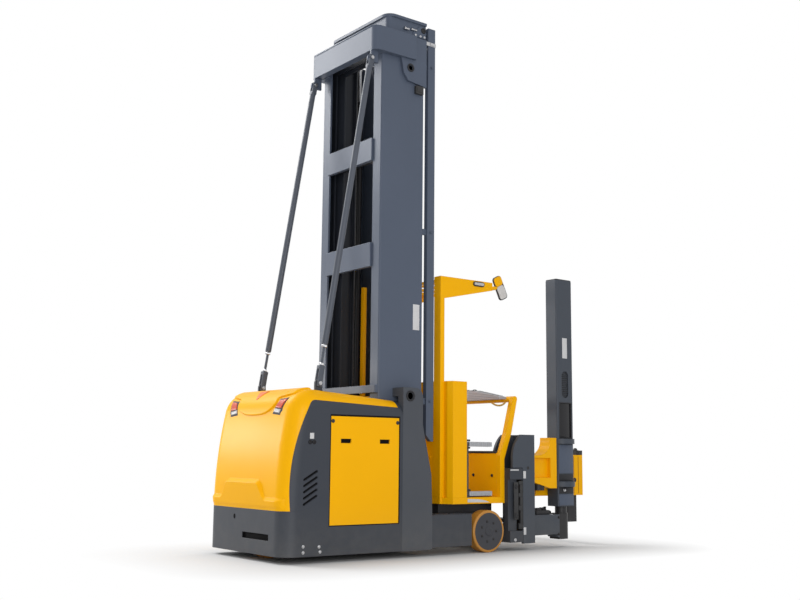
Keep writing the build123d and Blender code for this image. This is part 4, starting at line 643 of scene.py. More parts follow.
def boltTree():
    grow = Growth("boltHeads", {"Head Radius": "Float", "Head Height": "Float", "Washer Radius": "Float"})
    head = grow.node("GeometryNodeMeshCylinder", {}, {
        "Vertices": boltShape["headSides"], "Radius": grow.entry["Head Radius"],
        "Depth": grow.entry["Head Height"]})
    washer = grow.node("GeometryNodeMeshCylinder", {}, {
        "Vertices": boltShape["washerSides"], "Radius": grow.entry["Washer Radius"],
        "Depth": boltShape["washerHigh"]})
    half = grow.node("ShaderNodeMath", {"operation": "MULTIPLY_ADD"}, {
        0: grow.entry["Head Height"], 1: 0.5, 2: boltShape["washerHigh"] / 2})
    lift = grow.node("ShaderNodeCombineXYZ", {}, {"Z": half})
    raised = grow.node("GeometryNodeTransform", {}, {"Geometry": head, "Translation": lift})
    both = grow.node("GeometryNodeJoinGeometry")
    grow.tree.links.new(raised, both.node.inputs[0])
    grow.tree.links.new(washer, both.node.inputs[0])
    facing = grow.node("GeometryNodeInputNamedAttribute", {"data_type": "FLOAT_VECTOR"}, {"Name": "facing"})
    turn = grow.node("FunctionNodeAlignRotationToVector", {"axis": "Z"}, {"Vector": facing})
    return grow.close(grow.node("GeometryNodeInstanceOnPoints", {}, {
        "Points": grow.entry["Geometry"], "Instance": both, "Rotation": turn}))


# one shape over and over along a line
def rowTree():
    grow = Growth("evenRow", {"Count": "Int", "Step": "Vector"})
    line = grow.node("GeometryNodeMeshLine", {"mode": "OFFSET"}, {
        "Count": grow.entry["Count"], "Offset": grow.entry["Step"]})
    return grow.close(grow.node("GeometryNodeInstanceOnPoints", {}, {
        "Points": line, "Instance": grow.entry["Geometry"]}))


trees = {"bolts": boltTree(), "row": rowTree()}


def grown(name, body, slot, kind, seed, values, material=None):
    holder = bpy.data.objects.new(name + "Seed", seed)
    scene.collection.objects.link(holder)
    changer = holder.modifiers.new("grow", "NODES")
    changer.node_group = trees[kind]
    values = dict(values, Material=material or finishes[slot])
    for item in trees[kind].interface.items_tree:
        if item.in_out == "INPUT" and item.name in values:
            changer[item.identifier] = values[item.name]
    mesh = baked(holder)
    holder.modifiers.clear()
    bpy.data.objects.remove(holder)
    bpy.data.meshes.remove(seed)
    return placed(name, mesh, body, slot, material)


def bolts(name, body, slot, places, radius, height):
    seed = bpy.data.meshes.new(name)
    seed.from_pydata([spot(*place) for place, facing in places], [], [])
    seed.attributes.new("facing", "FLOAT_VECTOR", "POINT").data.foreach_set(
        "vector", [value for place, facing in places for value in facing])
    washer = radius * boltShape["washerShare"]
    values = {"Head Radius": radius / 1000, "Head Height": height / 1000, "Washer Radius": washer / 1000}
    return grown(name, body, slot, "bolts", seed, values)


def rowOf(name, body, slot, shapes, count, step, material=None):
    values = {"Count": count, "Step": [part / 1000 for part in step]}
    return grown(name, body, slot, "row", joined(name, shapes), values, material)


print("stage: builders ready")


# Rear cowl: lid over the top with its smile between the lamps
cowlSkin = skin("rear_cowl", "counterweight", "body_shell", "tail_lamps")
behind = -900  # station that the rear's rays start from
lid = {
    "hub": (420, 1130), "reach": 1.5, "smile": 21.0, "corner": 36.0, "curl": 3.2, "top": 76.0,
    "narrow": 342, "wide": 545, "spread": (44.0, 52.0),
    "rise": 15.0, "sink": 4.0, "grid": (52, 48), "border": 16.0,
}


# ray from outside towards the lid's hub, at an angle above the level
def hubRay(degrees, y):
    angle = math.radians(degrees)
    out = Vector((-math.cos(angle), 0, math.sin(angle)))
    return spot(lid["hub"][0], y, lid["hub"][1]) + out * lid["reach"], -out


def lidRay(a, b):
    across = 2 * a - 1
    low = lid["smile"] + (lid["corner"] - lid["smile"]) * abs(across) ** lid["curl"]
    angle = low + (lid["top"] - low) * b
    first, last = lid["spread"]
    half = lid["narrow"] + (lid["wide"] - lid["narrow"]) * eased((angle - first) / (last - first))
    return hubRay(angle, across * half)


emit("cowlLid", "chassis", "body_yellow", [
    laid(cowlSkin, lidRay, lid["rise"], lid["sink"], *lid["grid"], lid["border"])], cowlPaint)

# orange pull tab at the top of the lid, aimed at like the lid
tab = {
    "y": 28, "angles": (42.0, 59.0), "halves": (9, 85),
    "rise": 20.0, "sink": 2.0, "grid": (18, 14), "border": 6.0,
}


def tabRay(a, b):
    low, high = tab["angles"]
    point, wide = tab["halves"]
    return hubRay(low + (high - low) * b, tab["y"] + (2 * a - 1) * (point + (wide - point) * b))


emit("lidTab", "chassis", "body_yellow", [
    laid(cowlSkin, tabRay, tab["rise"], tab["sink"], *tab["grid"], tab["border"])],
    sprayedPaint("orangePaint", orangeLook))

# Tail lamps on the frame's dark housing: leaning rim, red and clear lenses
tailLamp = {  # corners (y, z), rise, rows, border
    "lampRims": (((316, 1268), (446, 1254), (508, 1410), (380, 1398)), 3.0, 14, 6.0),
    "lampRed": (((348, 1324), (450, 1312), (492, 1396), (394, 1386)), 9.0, 14, 8.0),
    "lampClear": (((330, 1284), (432, 1270), (446, 1304), (344, 1316)), 8.0, 8, 7.0),
}
lampFinish = {
    "lampRims": ("buffer_black", None), "lampRed": ("lamp_red", None), "lampClear": ("lamp_red", clearLens),
}


# four corners (y, z) aimed at from behind
def quadRay(corners):
    lowIn, lowOut, highOut, highIn = corners

    def ray(a, b):
        low = [lowIn[k] + (lowOut[k] - lowIn[k]) * a for k in (0, 1)]
        high = [highIn[k] + (highOut[k] - highIn[k]) * a for k in (0, 1)]
        y, z = (low[k] + (high[k] - low[k]) * b for k in (0, 1))
        return spot(behind, y, z), axisLine["s"]
    return ray


for name, (corners, rise, rows, border) in tailLamp.items():
    slot, material = lampFinish[name]
    emit(name, "chassis", slot, [
        laid(cowlSkin, quadRay([(side * y, z) for y, z in corners]), rise, 3.0, 14, rows, border)
        for side in sides.values()], material)

# Tow slot and bumper holes: near-black sheets inside them as painted shade
tow = {"y": (-443.5, 13.5), "z": (185, 238), "mouth": 6, "edge": 1.0}
(lowY, highY), (lowZ, highZ) = tow["y"], tow["z"]
hit = cowlSkin.ray_cast(spot(behind, (lowY + highY) / 2, (lowZ + highZ) / 2), axisLine["s"])[0]
mouth, depth, edge = tow["mouth"], (hit.x - rear) * 1000, tow["edge"]
# near-black lining on the slot's back and walls: painted shade inside the tow slot
emit("towSlotShade", "chassis", "buffer_black", [
    block((depth - 4, lowY + 1, lowZ + 1), (depth + 2, highY - 1, highZ - 1), edge),
    block((mouth, lowY - 2, lowZ - 2), (depth, highY + 2, lowZ + 3), edge),
    block((mouth, lowY - 2, highZ - 3), (depth, highY + 2, highZ + 2), edge),
    block((mouth, lowY - 2, lowZ), (depth, lowY + 3, highZ), edge),
    block((mouth, highY - 3, lowZ), (depth, highY + 2, highZ), edge),
], shadeBlack)
# near-black oval on the bumper where it has a hole: painted shade of the hole
plug = {"y": 161, "z": 364, "half": (16, 22), "s": (-2.5, 14), "steps": 24, "edge": 1.2}
outline = []
for k in range(plug["steps"]):
    angle, (wide, high) = math.tau * k / plug["steps"], plug["half"]
    outline.append((plug["y"] + math.cos(angle) * wide, plug["z"] + math.sin(angle) * high))
emit("bumperHoleShade", "chassis", "buffer_black", [plate(outline, "s", *plug["s"], plug["edge"])], shadeBlack)

# Lower skirt of the cowl with its arch
skirt = {
    "half": 636, "low": 444, "ledge": 552, "arch": 704, "top": 258, "foot": 408, "y": 25,
    "rise": 38.0, "sink": 2.0, "least": 0.1, "grid": (140, 40), "border": 38.0,
}


def skirtZ(a, b):
    off = abs((2 * a - 1) * skirt["half"] - skirt["y"])
    climb = eased((skirt["foot"] - off) / (skirt["foot"] - skirt["top"]))
    high = skirt["ledge"] + (skirt["arch"] - skirt["ledge"]) * climb
    return skirt["low"] + (high - skirt["low"]) * b


def skirtRay(a, b):
    return spot(behind, (2 * a - 1) * skirt["half"], skirtZ(a, b)), axisLine["s"]


# the skirt stays upright while the cowl leans, so it stands out more higher up
def skirtShare(a, b):
    climb = (skirtZ(a, b) - skirt["low"]) / (skirt["arch"] - skirt["low"])
    return skirt["least"] + (1 - skirt["least"]) * climb


emit("cowlSkirt", "chassis", "body_yellow", [
    laid(cowlSkin, skirtRay, skirt["rise"], skirt["sink"], *skirt["grid"], skirt["border"], skirtShare)],
    cowlPaint)

# Grey sides: locks, blank plate, slats in the vents darkened as painted shade of the vent recesses, jacking
# bolts
flank = {
    "face": 680, "locks": (252, 292), "lockZ": 1024, "plate": ((247, 1052), (289, 1102)),
    "lock": [(19, -4), (19, 5), (16, 8), (11, 8), (10, 5), (4, 5), (3, 10)],
    "jacks": [(203, 146), (363, 139), (204, 96), (374, 96)],
}
vent = {
    "s": 264, "z": 531, "step": 52, "count": 5, "long": 158, "high": 15, "tilt": 30.0,
    "slat": (666, 671), "lip": (670, 673), "lipShare": 0.2,
}


# leaning slat, or its lip with a share of the height
def slatLine(share):
    slant = math.radians(vent["tilt"])
    outline = []
    for a, b in ((-1, -1), (1, -1), (1, 1), (-1, 1)):
        along, over = a * vent["long"] / 2, b * vent["high"] / 2 * share
        s = vent["s"] + math.cos(slant) * along - math.sin(slant) * over
        outline.append((s, vent["z"] + math.sin(slant) * along + math.cos(slant) * over))
    return outline


for label, side in sides.items():
    face = flank["face"] * side
    emit("sideLock" + label, "chassis", "buffer_black", [
        turned(flank["lock"], (s, face, flank["lockZ"]), sideFace[side]) for s in flank["locks"]], darkGlass)
    (s0, z0), (s1, z1) = flank["plate"]
    emit("sidePlate" + label, "chassis", "gate_grey", [
        block((s0, face - 3, z0), (s1, face + side * 2, z1), 0.8)], blankWhite)
    # the slats take the near-black finish: painted shade of the vent recesses
    slats = [
        plate(slatLine(share), "y", *[side * y for y in deep], 1.0)
        for share, deep in ((1.0, vent["slat"]), (vent["lipShare"], vent["lip"]))
    ]
    rowOf("ventSlats" + label, "chassis", "buffer_black", slats, vent["count"], (0, 0, vent["step"]), shadeBlack)
    heads = [((s, face, z), sideFace[side]) for s, z in flank["jacks"]]
    bolts("jackBolts" + label, "chassis", "bare_steel", heads, 9.5, 7.0)

# Battery doors: latches, painted shade in the hand pockets, inner frames and painted shadow gaps round the
# doors
door = {
    "low": (465, 313), "high": (1208, 1253), "latches": [(482, 1210), (1190, 1210)],
    "latch": [(17, -4), (17, 6), (14, 9), (9, 9), (8, 6), (2, 6)],
    "pocketShades": (625, 1048), "pocketShadeZ": 1038, "pocketShadeHalf": (54, 18), "frameY": (642, 651), "frame": [
        (500, 350, 528, 1215), (1144, 350, 1172, 1215), (526, 350, 1146, 378), (526, 1187, 1146, 1215),
        (526, 766, 1146, 794),
    ],
}
# Battery behind the doors: ribs, rim and lifting eyes
battery = {
    "rib": ((512, 598, 352), (536, 608, 1052)), "ribs": 5, "pitch": 115,
    "rim": ((493, 597, 1076), (1003, 611, 1116)), "eyes": (570, 926), "eyeY": 611, "eyeZ": 1096,
    "eye": [(26, -4), (26, 5), (22, 9), (15, 9), (13, 5), (13, -4)],
}


# block whose corners are given for the left, put on either side
def sideBlock(corners, side, edge):
    (s0, y0, z0), (s1, y1, z1) = corners
    return block((s0, side * y0, z0), (s1, side * y1, z1), edge)


for label, side in sides.items():
    face, body = flank["face"] * side, "door_" + label.lower()
    emit("doorLatches" + label, body, "buffer_black", [
        turned(door["latch"], (s, face, z), sideFace[side]) for s, z in door["latches"]])
    doorSkin = skin("battery_door_" + label.lower())
    # near-black sheets on the floor and under the lip of each hand pocket: painted shade of the pocket
    pocketShades = []
    wide, high = door["pocketShadeHalf"]
    for s in door["pocketShades"]:
        z = door["pocketShadeZ"]
        deep = abs(doorSkin.ray_cast(spot(s, side * 900, z), Vector((0, -side, 0)))[0].y) * 1000
        pocketShades.append(sideBlock(((s - wide, deep - 2, z - high), (s + wide, deep + 3, z + high)), side, 1.5))
        pocketShades.append(sideBlock(((s - wide, deep, z + 13), (s + wide, 679, z + 18.5)), side, 1.0))
    emit("doorPocketShade" + label, body, "buffer_black", pocketShades, shadeBlack)
    inner, outer = door["frameY"]
    emit("doorFrame" + label, body, "body_yellow", [
        sideBlock(((s0, inner, z0), (s1, outer, z1)), side, 2.5) for s0, z0, s1, z1 in door["frame"]])
    rowOf("batteryRibs" + label, "chassis", "chassis_grey", [
        sideBlock(battery["rib"], side, 3.0)], battery["ribs"], (battery["pitch"], 0, 0))
    emit("batteryRim" + label, "chassis", "chassis_grey", [sideBlock(battery["rim"], side, 4.0)])
    emit("batteryEyes" + label, "chassis", "bare_steel", [
        turned(battery["eye"], (s, side * battery["eyeY"], battery["eyeZ"]), sideFace[side])
        for s in battery["eyes"]])
    (s0, z0), (s1, z1) = door["low"], door["high"]
    # near-black strips round each door, widest along the top and the front edge: painted shadow gaps
    strips = [
        (s0 - 7, z1 + 1, s1 + 12, z1 + 15), (s1 + 1, z0, s1 + 12, z1 + 4), (s0 - 8, z0, s0 - 1, z1 + 4),
        (s0 - 7, z0 - 8, s1 + 7, z0 - 1),
    ]
    emit("doorShadowGap" + label, "chassis", "buffer_black", [
        block((a, face - side * 4, b), (c, face + side * 1.5, d), 0.8) for a, b, c, d in strips], shadeBlack)

# Straddle legs: bolted cover plates on top; lifting eyes on the mast feet
cover = {"s": (1650, 2040), "y": (500, 650), "z": 370, "thick": 5, "bolts": (1670, 1845, 2020), "boltIn": 18}
footEye = {"s": 1337, "z": 1462, "ring": [(50, -6), (50, 5), (46, 9), (38, 9), (34, 6), (34, -6)]}
for label, side in sides.items():
    (s0, s1), (near, far), z, top = cover["s"], cover["y"], cover["z"], cover["z"] + cover["thick"]
    emit("legCover" + label, "chassis", "chassis_grey", [
        sideBlock(((s0, near, z - 2), (s1, far, top)), side, 2.0)])
    rows = (near + cover["boltIn"], far - cover["boltIn"])
    heads = [((s, side * y, top), upFace) for s in cover["bolts"] for y in rows]
    bolts("legBolts" + label, "chassis", "black_steel", heads, 8.0, 6.0)
    emit("footEye" + label, "chassis", "black_steel", [
        turned(footEye["ring"], (footEye["s"], side * flank["face"], footEye["z"]), sideFace[side])])
print("stage: chassis details")


# Mast top: lip on the crown, ear rings, stop blocks, blank plates, duct clamp with its bolts
crown = {"lip": ((954, -513, 5012), (985, 513, 5029)), "lipEdge": 4.0}
ear = {"s": 1412, "y": 541.5, "z": 4693, "ring": [(42, -4), (42, 6), (38, 9), (28, 9), (25, 6), (25, -4)]}
stopBlock = {"body": ((1482, 511, 4448), (1576, 546, 4530)), "face": ((1496, 545, 4466), (1562, 551, 4512))}
columnPlate = {"box": ((1488, 510, 2105), (1566, 513, 2352)), "edge": 0.8}
duct = {
    "clamp": ((1594, -526, 4984), (1744, -464, 5024)), "lug": ((1668, -536, 4990), (1716, -525, 5018)),
    "boltS": 1692, "boltY": -526, "boltZ": (4760, 3080, 1430),
}
emit("crownLip", "chassis", "mast_grey", [block(*crown["lip"], crown["lipEdge"])])
for label, side in sides.items():
    emit("earRing" + label, "chassis", "black_steel", [
        turned(ear["ring"], (ear["s"], side * ear["y"], ear["z"]), sideFace[side])])
    emit("stopBlock" + label, "chassis", "buffer_black", [
        sideBlock(stopBlock["body"], side, 5.0), sideBlock(stopBlock["face"], side, 2.0)])
    emit("columnPlate" + label, "chassis", "gate_grey", [
        sideBlock(columnPlate["box"], side, columnPlate["edge"])], blankWhite)
emit("ductClamp", "chassis", "bare_steel", [block(*duct["clamp"], 4.0), block(*duct["lug"], 3.0)])
heads = [((duct["boltS"], duct["boltY"], z), rightFace) for z in duct["boltZ"]]
bolts("ductBolts", "chassis", "mast_grey", heads, 9.0, 7.0)

# Stays: tube, threaded end and forks in place of the plain ones, with pins and lock nuts
stay = {
    "foot": (437, 1545), "head": (956, 4694), "y": 500, "tube": 29, "from": 350, "thread": 12, "crest": 1.8,
    "pitch": 5, "fork": 29, "half": 27, "gap": 12, "eye": 31, "necks": (162, 100),
    "pin": [(10, -44), (10, -40), (17, -40), (17, -32), (12, -32), (12, 32), (17, 32), (17, 40), (10, 40),
            (10, 44)],
}
run = Vector((stay["head"][0] - stay["foot"][0], 0, stay["head"][1] - stay["foot"][1]))
long, lean = run.length, math.degrees(math.atan2(run.x, run.z))
run.normalize()


# fork on one end: a bridge at the neck and two cheeks round the eye, built upright and then leaned
def stayFork(foot, end, way, neck):
    s, y, z = foot
    half, fork = stay["half"], stay["fork"]

    def slab(lowY, highY, near, far, edge):
        low, high = sorted((z + end + way * near, z + end + way * far))
        return block((s - half, y + lowY, low), (s + half, y + highY, high), edge)

    shapes = [slab(-fork, fork, neck - 36, neck, 6.0)]
    shapes += [slab(cheek * stay["gap"], cheek * fork, -stay["eye"], neck - 30, 7.0) for cheek in (-1, 1)]
    return [turnShape(shape, lean, "Y", foot) for shape in shapes]


rods, pins = [], []
for side in sides.values():
    foot = (stay["foot"][0], side * stay["y"], stay["foot"][1])
    tube, start, (neck, headNeck) = stay["tube"], stay["from"], stay["necks"]
    stop = long - headNeck + 4
    rods.append(turned([
        (16, start), (tube - 5, start + 4), (tube, start + 16), (tube, stop - 6), (tube - 5, stop)], foot, run))
    low, pitch = neck - 10, stay["pitch"]
    turns = int((start + 8 - low) / pitch)
    thread = [(stay["thread"] + stay["crest"] * (k % 2), low + pitch * k) for k in range(turns)]
    rods.append(turned(thread, foot, run, 16))
    rods += stayFork(foot, 0, 1, neck) + stayFork(foot, long, -1, headNeck)
    for s, z in (stay["foot"], stay["head"]):
        pins.append(turned(stay["pin"], (s, foot[1], z), "y", 20))
    for along, wide in ((neck + 1, 23), (start - 20, 27)):
        centre = (foot[0] + run.x * along, foot[1], foot[2] + run.z * along)
        pins.append(turned([(wide - 3, 0), (wide, 4), (wide, 18), (wide - 3, 22)], centre, run, 6))
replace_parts(emit("stayRods", "chassis", "mast_grey", rods, stayPaint), "stays")
emit("stayPins", "chassis", "bare_steel", pins)

# Leaf chains in place of the plain straps, with their anchors
chain = {
    "s": 1407, "y": 381.5, "low": 320, "high": 5035, "pitch": 36.0, "span": 0.62, "thick": 2.2,
    "outer": (5.6, 12.5), "inner": (2.6, 12.0),  # links: y from the middle, half width
    "pin": [(5.5, -7), (5.5, 7)], "rod": [(10, 0), (13, 3), (13, 62), (10, 64)],
    "nut": [(17, 0), (20, 3), (20, 15), (17, 18)], "nuts": (40, 20),
}


def linkPlate(y, z, wide):
    outline = []
    for middle, start in ((z, 180), (z + chain["pitch"] * chain["span"], 0)):
        for step in range(6):
            angle = math.radians(start + 36 * step)
            outline.append((chain["s"] + math.cos(angle) * wide, middle + math.sin(angle) * wide))
    return plate(outline, "y", y - chain["thick"] / 2, y + chain["thick"] / 2, 0)


count = int((chain["high"] - chain["low"] - 30) / chain["pitch"])
for label, side in sides.items():
    s, y, low, half = chain["s"], side * chain["y"], chain["low"] + 14, chain["pitch"] / 2
    links = []
    for z, (shift, wide) in ((low, chain["outer"]), (low + half, chain["inner"])):
        links += [linkPlate(y + way * shift, z, wide) for way in (-1, 1)]
    links += [turned(chain["pin"], (s, y, low + step), "y", 8) for step in (2, half + 2)]
    piece = rowOf("liftChain" + label, "middle", "chain_steel", links, count, (0, 0, chain["pitch"]))
    if side == 1:
        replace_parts(piece, "lift_chains")
    anchor = [turned(chain["rod"], (s, y, chain["high"] - 64), "z", 16)]
    anchor += [turned(chain["nut"], (s, y, chain["high"] - down), "z", 6) for down in chain["nuts"]]
    emit("chainAnchor" + label, "middle", "bare_steel", anchor)

# Lift cylinders: glands and foot ports
gland = {
    "s": 1485, "y": 442, "z": 4552, "footZ": 134,
    "ring": [(42, 0), (49, 4), (49, 44), (46, 50), (36, 54), (33, 60), (31, 60)],
    "foot": [(42, 0), (47, 4), (47, 70), (42, 74)],
}
for label, side in sides.items():
    emit("cylinderGland" + label, "chassis", "black_steel", [
        turned(ring, (gland["s"], side * gland["y"], z), "z")
        for ring, z in ((gland["ring"], gland["z"]), (gland["foot"], gland["footZ"]))])

# Middle crown: side brackets with a black disc in the bore as its painted shade, bolts and pipe fittings
bracket = {
    "face": 497.5, "in": 3, "out": 9,
    "outline": [(1470, 5048), (1622, 5048), (1632, 5060), (1632, 5150), (1612, 5172), (1560, 5172),
                (1470, 5090)],
    "boreShade": [(30, -3), (30, 4), (27, 8), (16, 8), (14, 3), (2, 3)], "boreShadeAt": (1596, 5132),
    "bolts": [(1500, 5066), (1560, 5066), (1610, 5066)],
    "fittings": [  # profile, station, out from the face, z
        ([(14, 0), (16, 2), (16, 16), (11, 18), (11, 40), (15, 42), (15, 54), (12, 56)], 1352, 15, 5100),
        ([(12, 0), (14, 2), (14, 14), (9, 16), (9, 52), (13, 54), (13, 64), (10, 66)], 1440, 13, 5112),
    ],
}
for label, side in sides.items():
    face = side * bracket["face"]
    outer = face + side * bracket["out"]
    emit("crownBracket" + label, "middle", "mast_grey", [
        plate(bracket["outline"], "y", face - side * bracket["in"], outer, 2.5)])
    # black disc closing the bracket's bore: painted shade of the bore
    s, z = bracket["boreShadeAt"]
    emit("crownBoreShade" + label, "middle", "black_steel", [turned(bracket["boreShade"], (s, outer, z), sideFace[side])])
    heads = [((s, outer, z), sideFace[side]) for s, z in bracket["bolts"]]
    bolts("bracketBolts" + label, "middle", "bare_steel", heads, 8.0, 6.0)
    emit("crownFittings" + label, "middle", "bare_steel", [
        turned(profile, (s, face + side * out, z), "s", 6) for profile, s, out, z in bracket["fittings"]])
print("stage: mast details")


# Cab gates: ribbed grey sleeves and dark hinge blocks
gate = {
    "bars": [(535, 577), (1010, 1052)], "from": 2165, "rib": 11, "pitch": 26, "count": 10,
    "hingeS": (2090, 2142), "hingeY": (562, 598), "hingeHigh": 20,
}
for label, side in sides.items():
    low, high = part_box("gate_" + label.lower())
    inner, outer, start, stop = low.y * 1000 - 2, high.y * 1000 + 2, gate["from"], gate["from"] + gate["rib"]
    ribs = [block((start, inner, z0 - 2), (stop, outer, z1 + 2), 2.0) for z0, z1 in gate["bars"]]
    body, step = "cab_gate_" + label.lower(), (gate["pitch"], 0, 0)
    rowOf("gateRibs" + label, body, "gate_grey", ribs, gate["count"], step)
    (s0, s1), (near, far) = gate["hingeS"], gate["hingeY"]
    emit("gateHinges" + label, "cab", "buffer_black", [
        sideBlock(((s0, near, z), (s1, far, z + gate["hingeHigh"])), side, 4.0)
        for z0, z1 in gate["bars"] for z in (z0 - 24, z1 + 4)])

# Cab: mat with studs, pedals, trim and bolts on the walls, sill strips
mat = {
    "s": (1965, 2505), "y": 500, "z": 520, "thick": 6,
    "pitch": 54, "rows": 10, "columns": 18, "inset": (27, 41),
}
s0, y0, top = mat["s"][0] + mat["inset"][0], mat["inset"][1] - mat["y"], mat["z"] + mat["thick"]
emit("floorMat", "cab", "pad_black", [
    block((mat["s"][0], -mat["y"], mat["z"] - 1), (mat["s"][1], mat["y"], top), 2.5)])
studs = [
    ((s0 + i * mat["pitch"], y0 + j * mat["pitch"], top), upFace)
    for i in range(mat["rows"]) for j in range(mat["columns"])
]
bolts("matStuds", "cab", "pad_black", studs, 9.0, 3.0)
pedal = {"y": (-150, 150), "s": (2410, 2500), "half": 55, "z": (540, 554), "tilt": -22, "hinge": 547}
pedals = []
for y in pedal["y"]:
    (s0, s1), (z0, z1), half = pedal["s"], pedal["z"], pedal["half"]
    shape = block((s0, y - half, z0), (s1, y + half, z1), 4.0)
    pedals.append(turnShape(shape, pedal["tilt"], "Y", (s1, y, pedal["hinge"])))
    pedals.append(block((2488, y - 20, 524), (2518, y + 20, 574), 4.0))
emit("pedals", "cab", "buffer_black", pedals)
cabWall = {
    "trim": ((2524, -540, 944), (2593, 540, 968)),
    "frontS": 2530, "frontY": (-479, -199, 199, 479), "frontZ": 726,
    "backS": 1840, "backY": (-350, 350), "backZ": (640, 900, 1160, 1420),
}
emit("frontTrim", "cab", "buffer_black", [block(*cabWall["trim"], 6.0)])
heads = [((cabWall["frontS"], y, cabWall["frontZ"]), backFace) for y in cabWall["frontY"]]
bolts("wallBolts", "cab", "black_steel", heads, 11.0, 8.0)
heads = [((cabWall["backS"], y, z), backFace) for y in cabWall["backY"] for z in cabWall["backZ"]]
bolts("backBolts", "cab", "body_yellow", heads, 11.0, 8.0)
sill = {"outline": [(2104, 508), (2104, 474), (2392, 470), (2330, 490), (2250, 502)], "y": (597, 602.5)}
emit("sillStrips", "cab", "bare_steel", [
    plate(sill["outline"], "y", *[side * y for y in sill["y"]], 1.0) for side in sides.values()])

# Desk on the front rail: knurled pads, blank screen, knobs, grab loops
desk = {
    "above": 2200, "padS": (2612, 2699), "padY": (110, 488), "screenS": (2616, 2698), "screenHalf": 80,
    "knurl": (2622, 132), "knurlStep": (16.5, 16), "knurlCount": (5, 22), "padRise": 5.0,
    "knobs": (-52, 52), "knobS": 2676, "knobSeat": 2656,
    "knob": [(24, -4), (24, 2), (20, 4), (18, 8), (14, 10), (2, 10)],
    "loop": [(2728, 226, 1484), (2738, 240, 1470), (2746, 290, 1440), (2748, 352, 1430), (2746, 414, 1440),
             (2738, 464, 1470), (2728, 476, 1484)],
    "loopRadius": 9.5,
}
deskSkin = skin("console")


def deskRay(s0, s1, y0, y1):
    def ray(a, b):
        return spot(s0 + (s1 - s0) * b, y0 + (y1 - y0) * a, desk["above"]), -axisLine["z"]
    return ray


def deskTop(s, y):
    return deskSkin.ray_cast(spot(s, y, desk["above"]), -axisLine["z"])[0].z * 1000


near, far = desk["padY"]
emit("deskPads", "cab", "gate_grey", [
    laid(deskSkin, deskRay(*desk["padS"], y0, y1), desk["padRise"], 2.0, 30, 8, 5.0)
    for y0, y1 in ((-far, -near), (near, far))])
screen = deskRay(*desk["screenS"], -desk["screenHalf"], desk["screenHalf"])
emit("deskScreen", "cab", "buffer_black", [laid(deskSkin, screen, 7.0, 2.0, 16, 10, 8.0)], darkGlass)
knurl = []
for i in range(desk["knurlCount"][0]):
    for j in range(desk["knurlCount"][1]):
        for side in sides.values():
            s = desk["knurl"][0] + i * desk["knurlStep"][0]
            y = side * (desk["knurl"][1] + j * desk["knurlStep"][1])
            knurl.append(((s, y, deskTop(s, y) + desk["padRise"]), upFace))
bolts("deskKnurl", "cab", "gate_grey", knurl, 4.0, 2.5)
emit("deskKnobs", "cab", "buffer_black", [
    turned(desk["knob"], (desk["knobS"], y, deskTop(desk["knobSeat"], y) + 6), "z") for y in desk["knobs"]])
emit("grabLoops", "cab", "body_yellow", [
    bar([(s, side * y, z) for s, y, z in desk["loop"]], desk["loopRadius"]) for side in sides.values()],
    sprayedPaint("loopPaint", loopLook))

# Overhead guard: oblong lamps on the arms
guardLamp = {
    "s": 2335, "y": 500, "z": 2636, "long": 150, "high": 50, "rim": 22, "rimY": (-3, 12), "lensY": (8, 17),
}
for label, side in sides.items():
    for name, slot, inset, deep, material in (
        ("guardLampRim", "buffer_black", 0, guardLamp["rimY"], None),
        ("guardLampLens", "lamp_red", guardLamp["rim"], guardLamp["lensY"], clearLens),
    ):
        outline = stadium(guardLamp["s"], guardLamp["z"], guardLamp["long"] - inset, guardLamp["high"] - inset)
        near, far = [side * (guardLamp["y"] + y) for y in deep]
        emit(name + label, "cab", slot, [plate(outline, "y", near, far, 4.0)], material)

# Mirror: yellow hood over a glass painted pale grey as its reflection, in a dark rim
mirror = {
    "s": 2640, "y": -485, "z": 2630, "tilt": 26.0, "edge": 1.6,
    "rim": (114, -10, 11, -124, 124, 32),  # width, y from and to, z from and to, corner
    "glass": (100, -12, -6, -116, 22, 26), "hood": (106, -13, -5, 24, 119, 28),
    "stem": [(2500, -486, 2612), (2545, -486, 2616), (2590, -478, 2626), (2636, -470, 2632)],
    "stemRadius": 20.0,
}


def mirrorPart(wide, lowY, highY, low, high, corner):
    s, y, z = mirror["s"], mirror["y"], mirror["z"]
    outline = []
    for turnS, turnZ, start in ((1, 1, 0), (-1, 1, 90), (-1, -1, 180), (1, -1, 270)):
        middleS = s + turnS * (wide / 2 - corner)
        middleZ = z + ((high - corner) if turnZ > 0 else (low + corner))
        for step in range(7):
            angle = math.radians(start + 15 * step)
            outline.append((middleS + math.cos(angle) * corner, middleZ + math.sin(angle) * corner))
    shape = plate(outline, "y", y + lowY, y + highY, mirror["edge"])
    return turnShape(shape, -mirror["tilt"], "Y", (s, y, z))


rim = emit("mirrorRim", "cab", "mirror_shell", [mirrorPart(*mirror["rim"])])
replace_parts(rim, "mirror")
emit("mirrorGlass", "cab", "bare_steel", [mirrorPart(*mirror["glass"])], finishes["mirror_glass"])
emit("mirrorHood", "cab", "body_yellow", [mirrorPart(*mirror["hood"])])
emit("mirrorStem", "cab", "body_yellow", [bar(mirror["stem"], mirror["stemRadius"])])
print("stage: cab details")


# Backrest: a crowned pad swollen by cloth pressure, then its sewn channels
backrest = {
    "s": (1880, 1946), "y": 252, "z": (1058, 1552), "inset": 8, "edge": 22.0,  # mm
    "voxel": 0.008, "pressure": 4.0, "steps": 20, "cap": 0.014,
    "channels": (1180, 1305, 1430), "channelWide": 0.011, "seam": 42, "seamWide": 0.009, "seamShare": 0.7,
    "sewn": 0.012, "proud": 0.004,
}


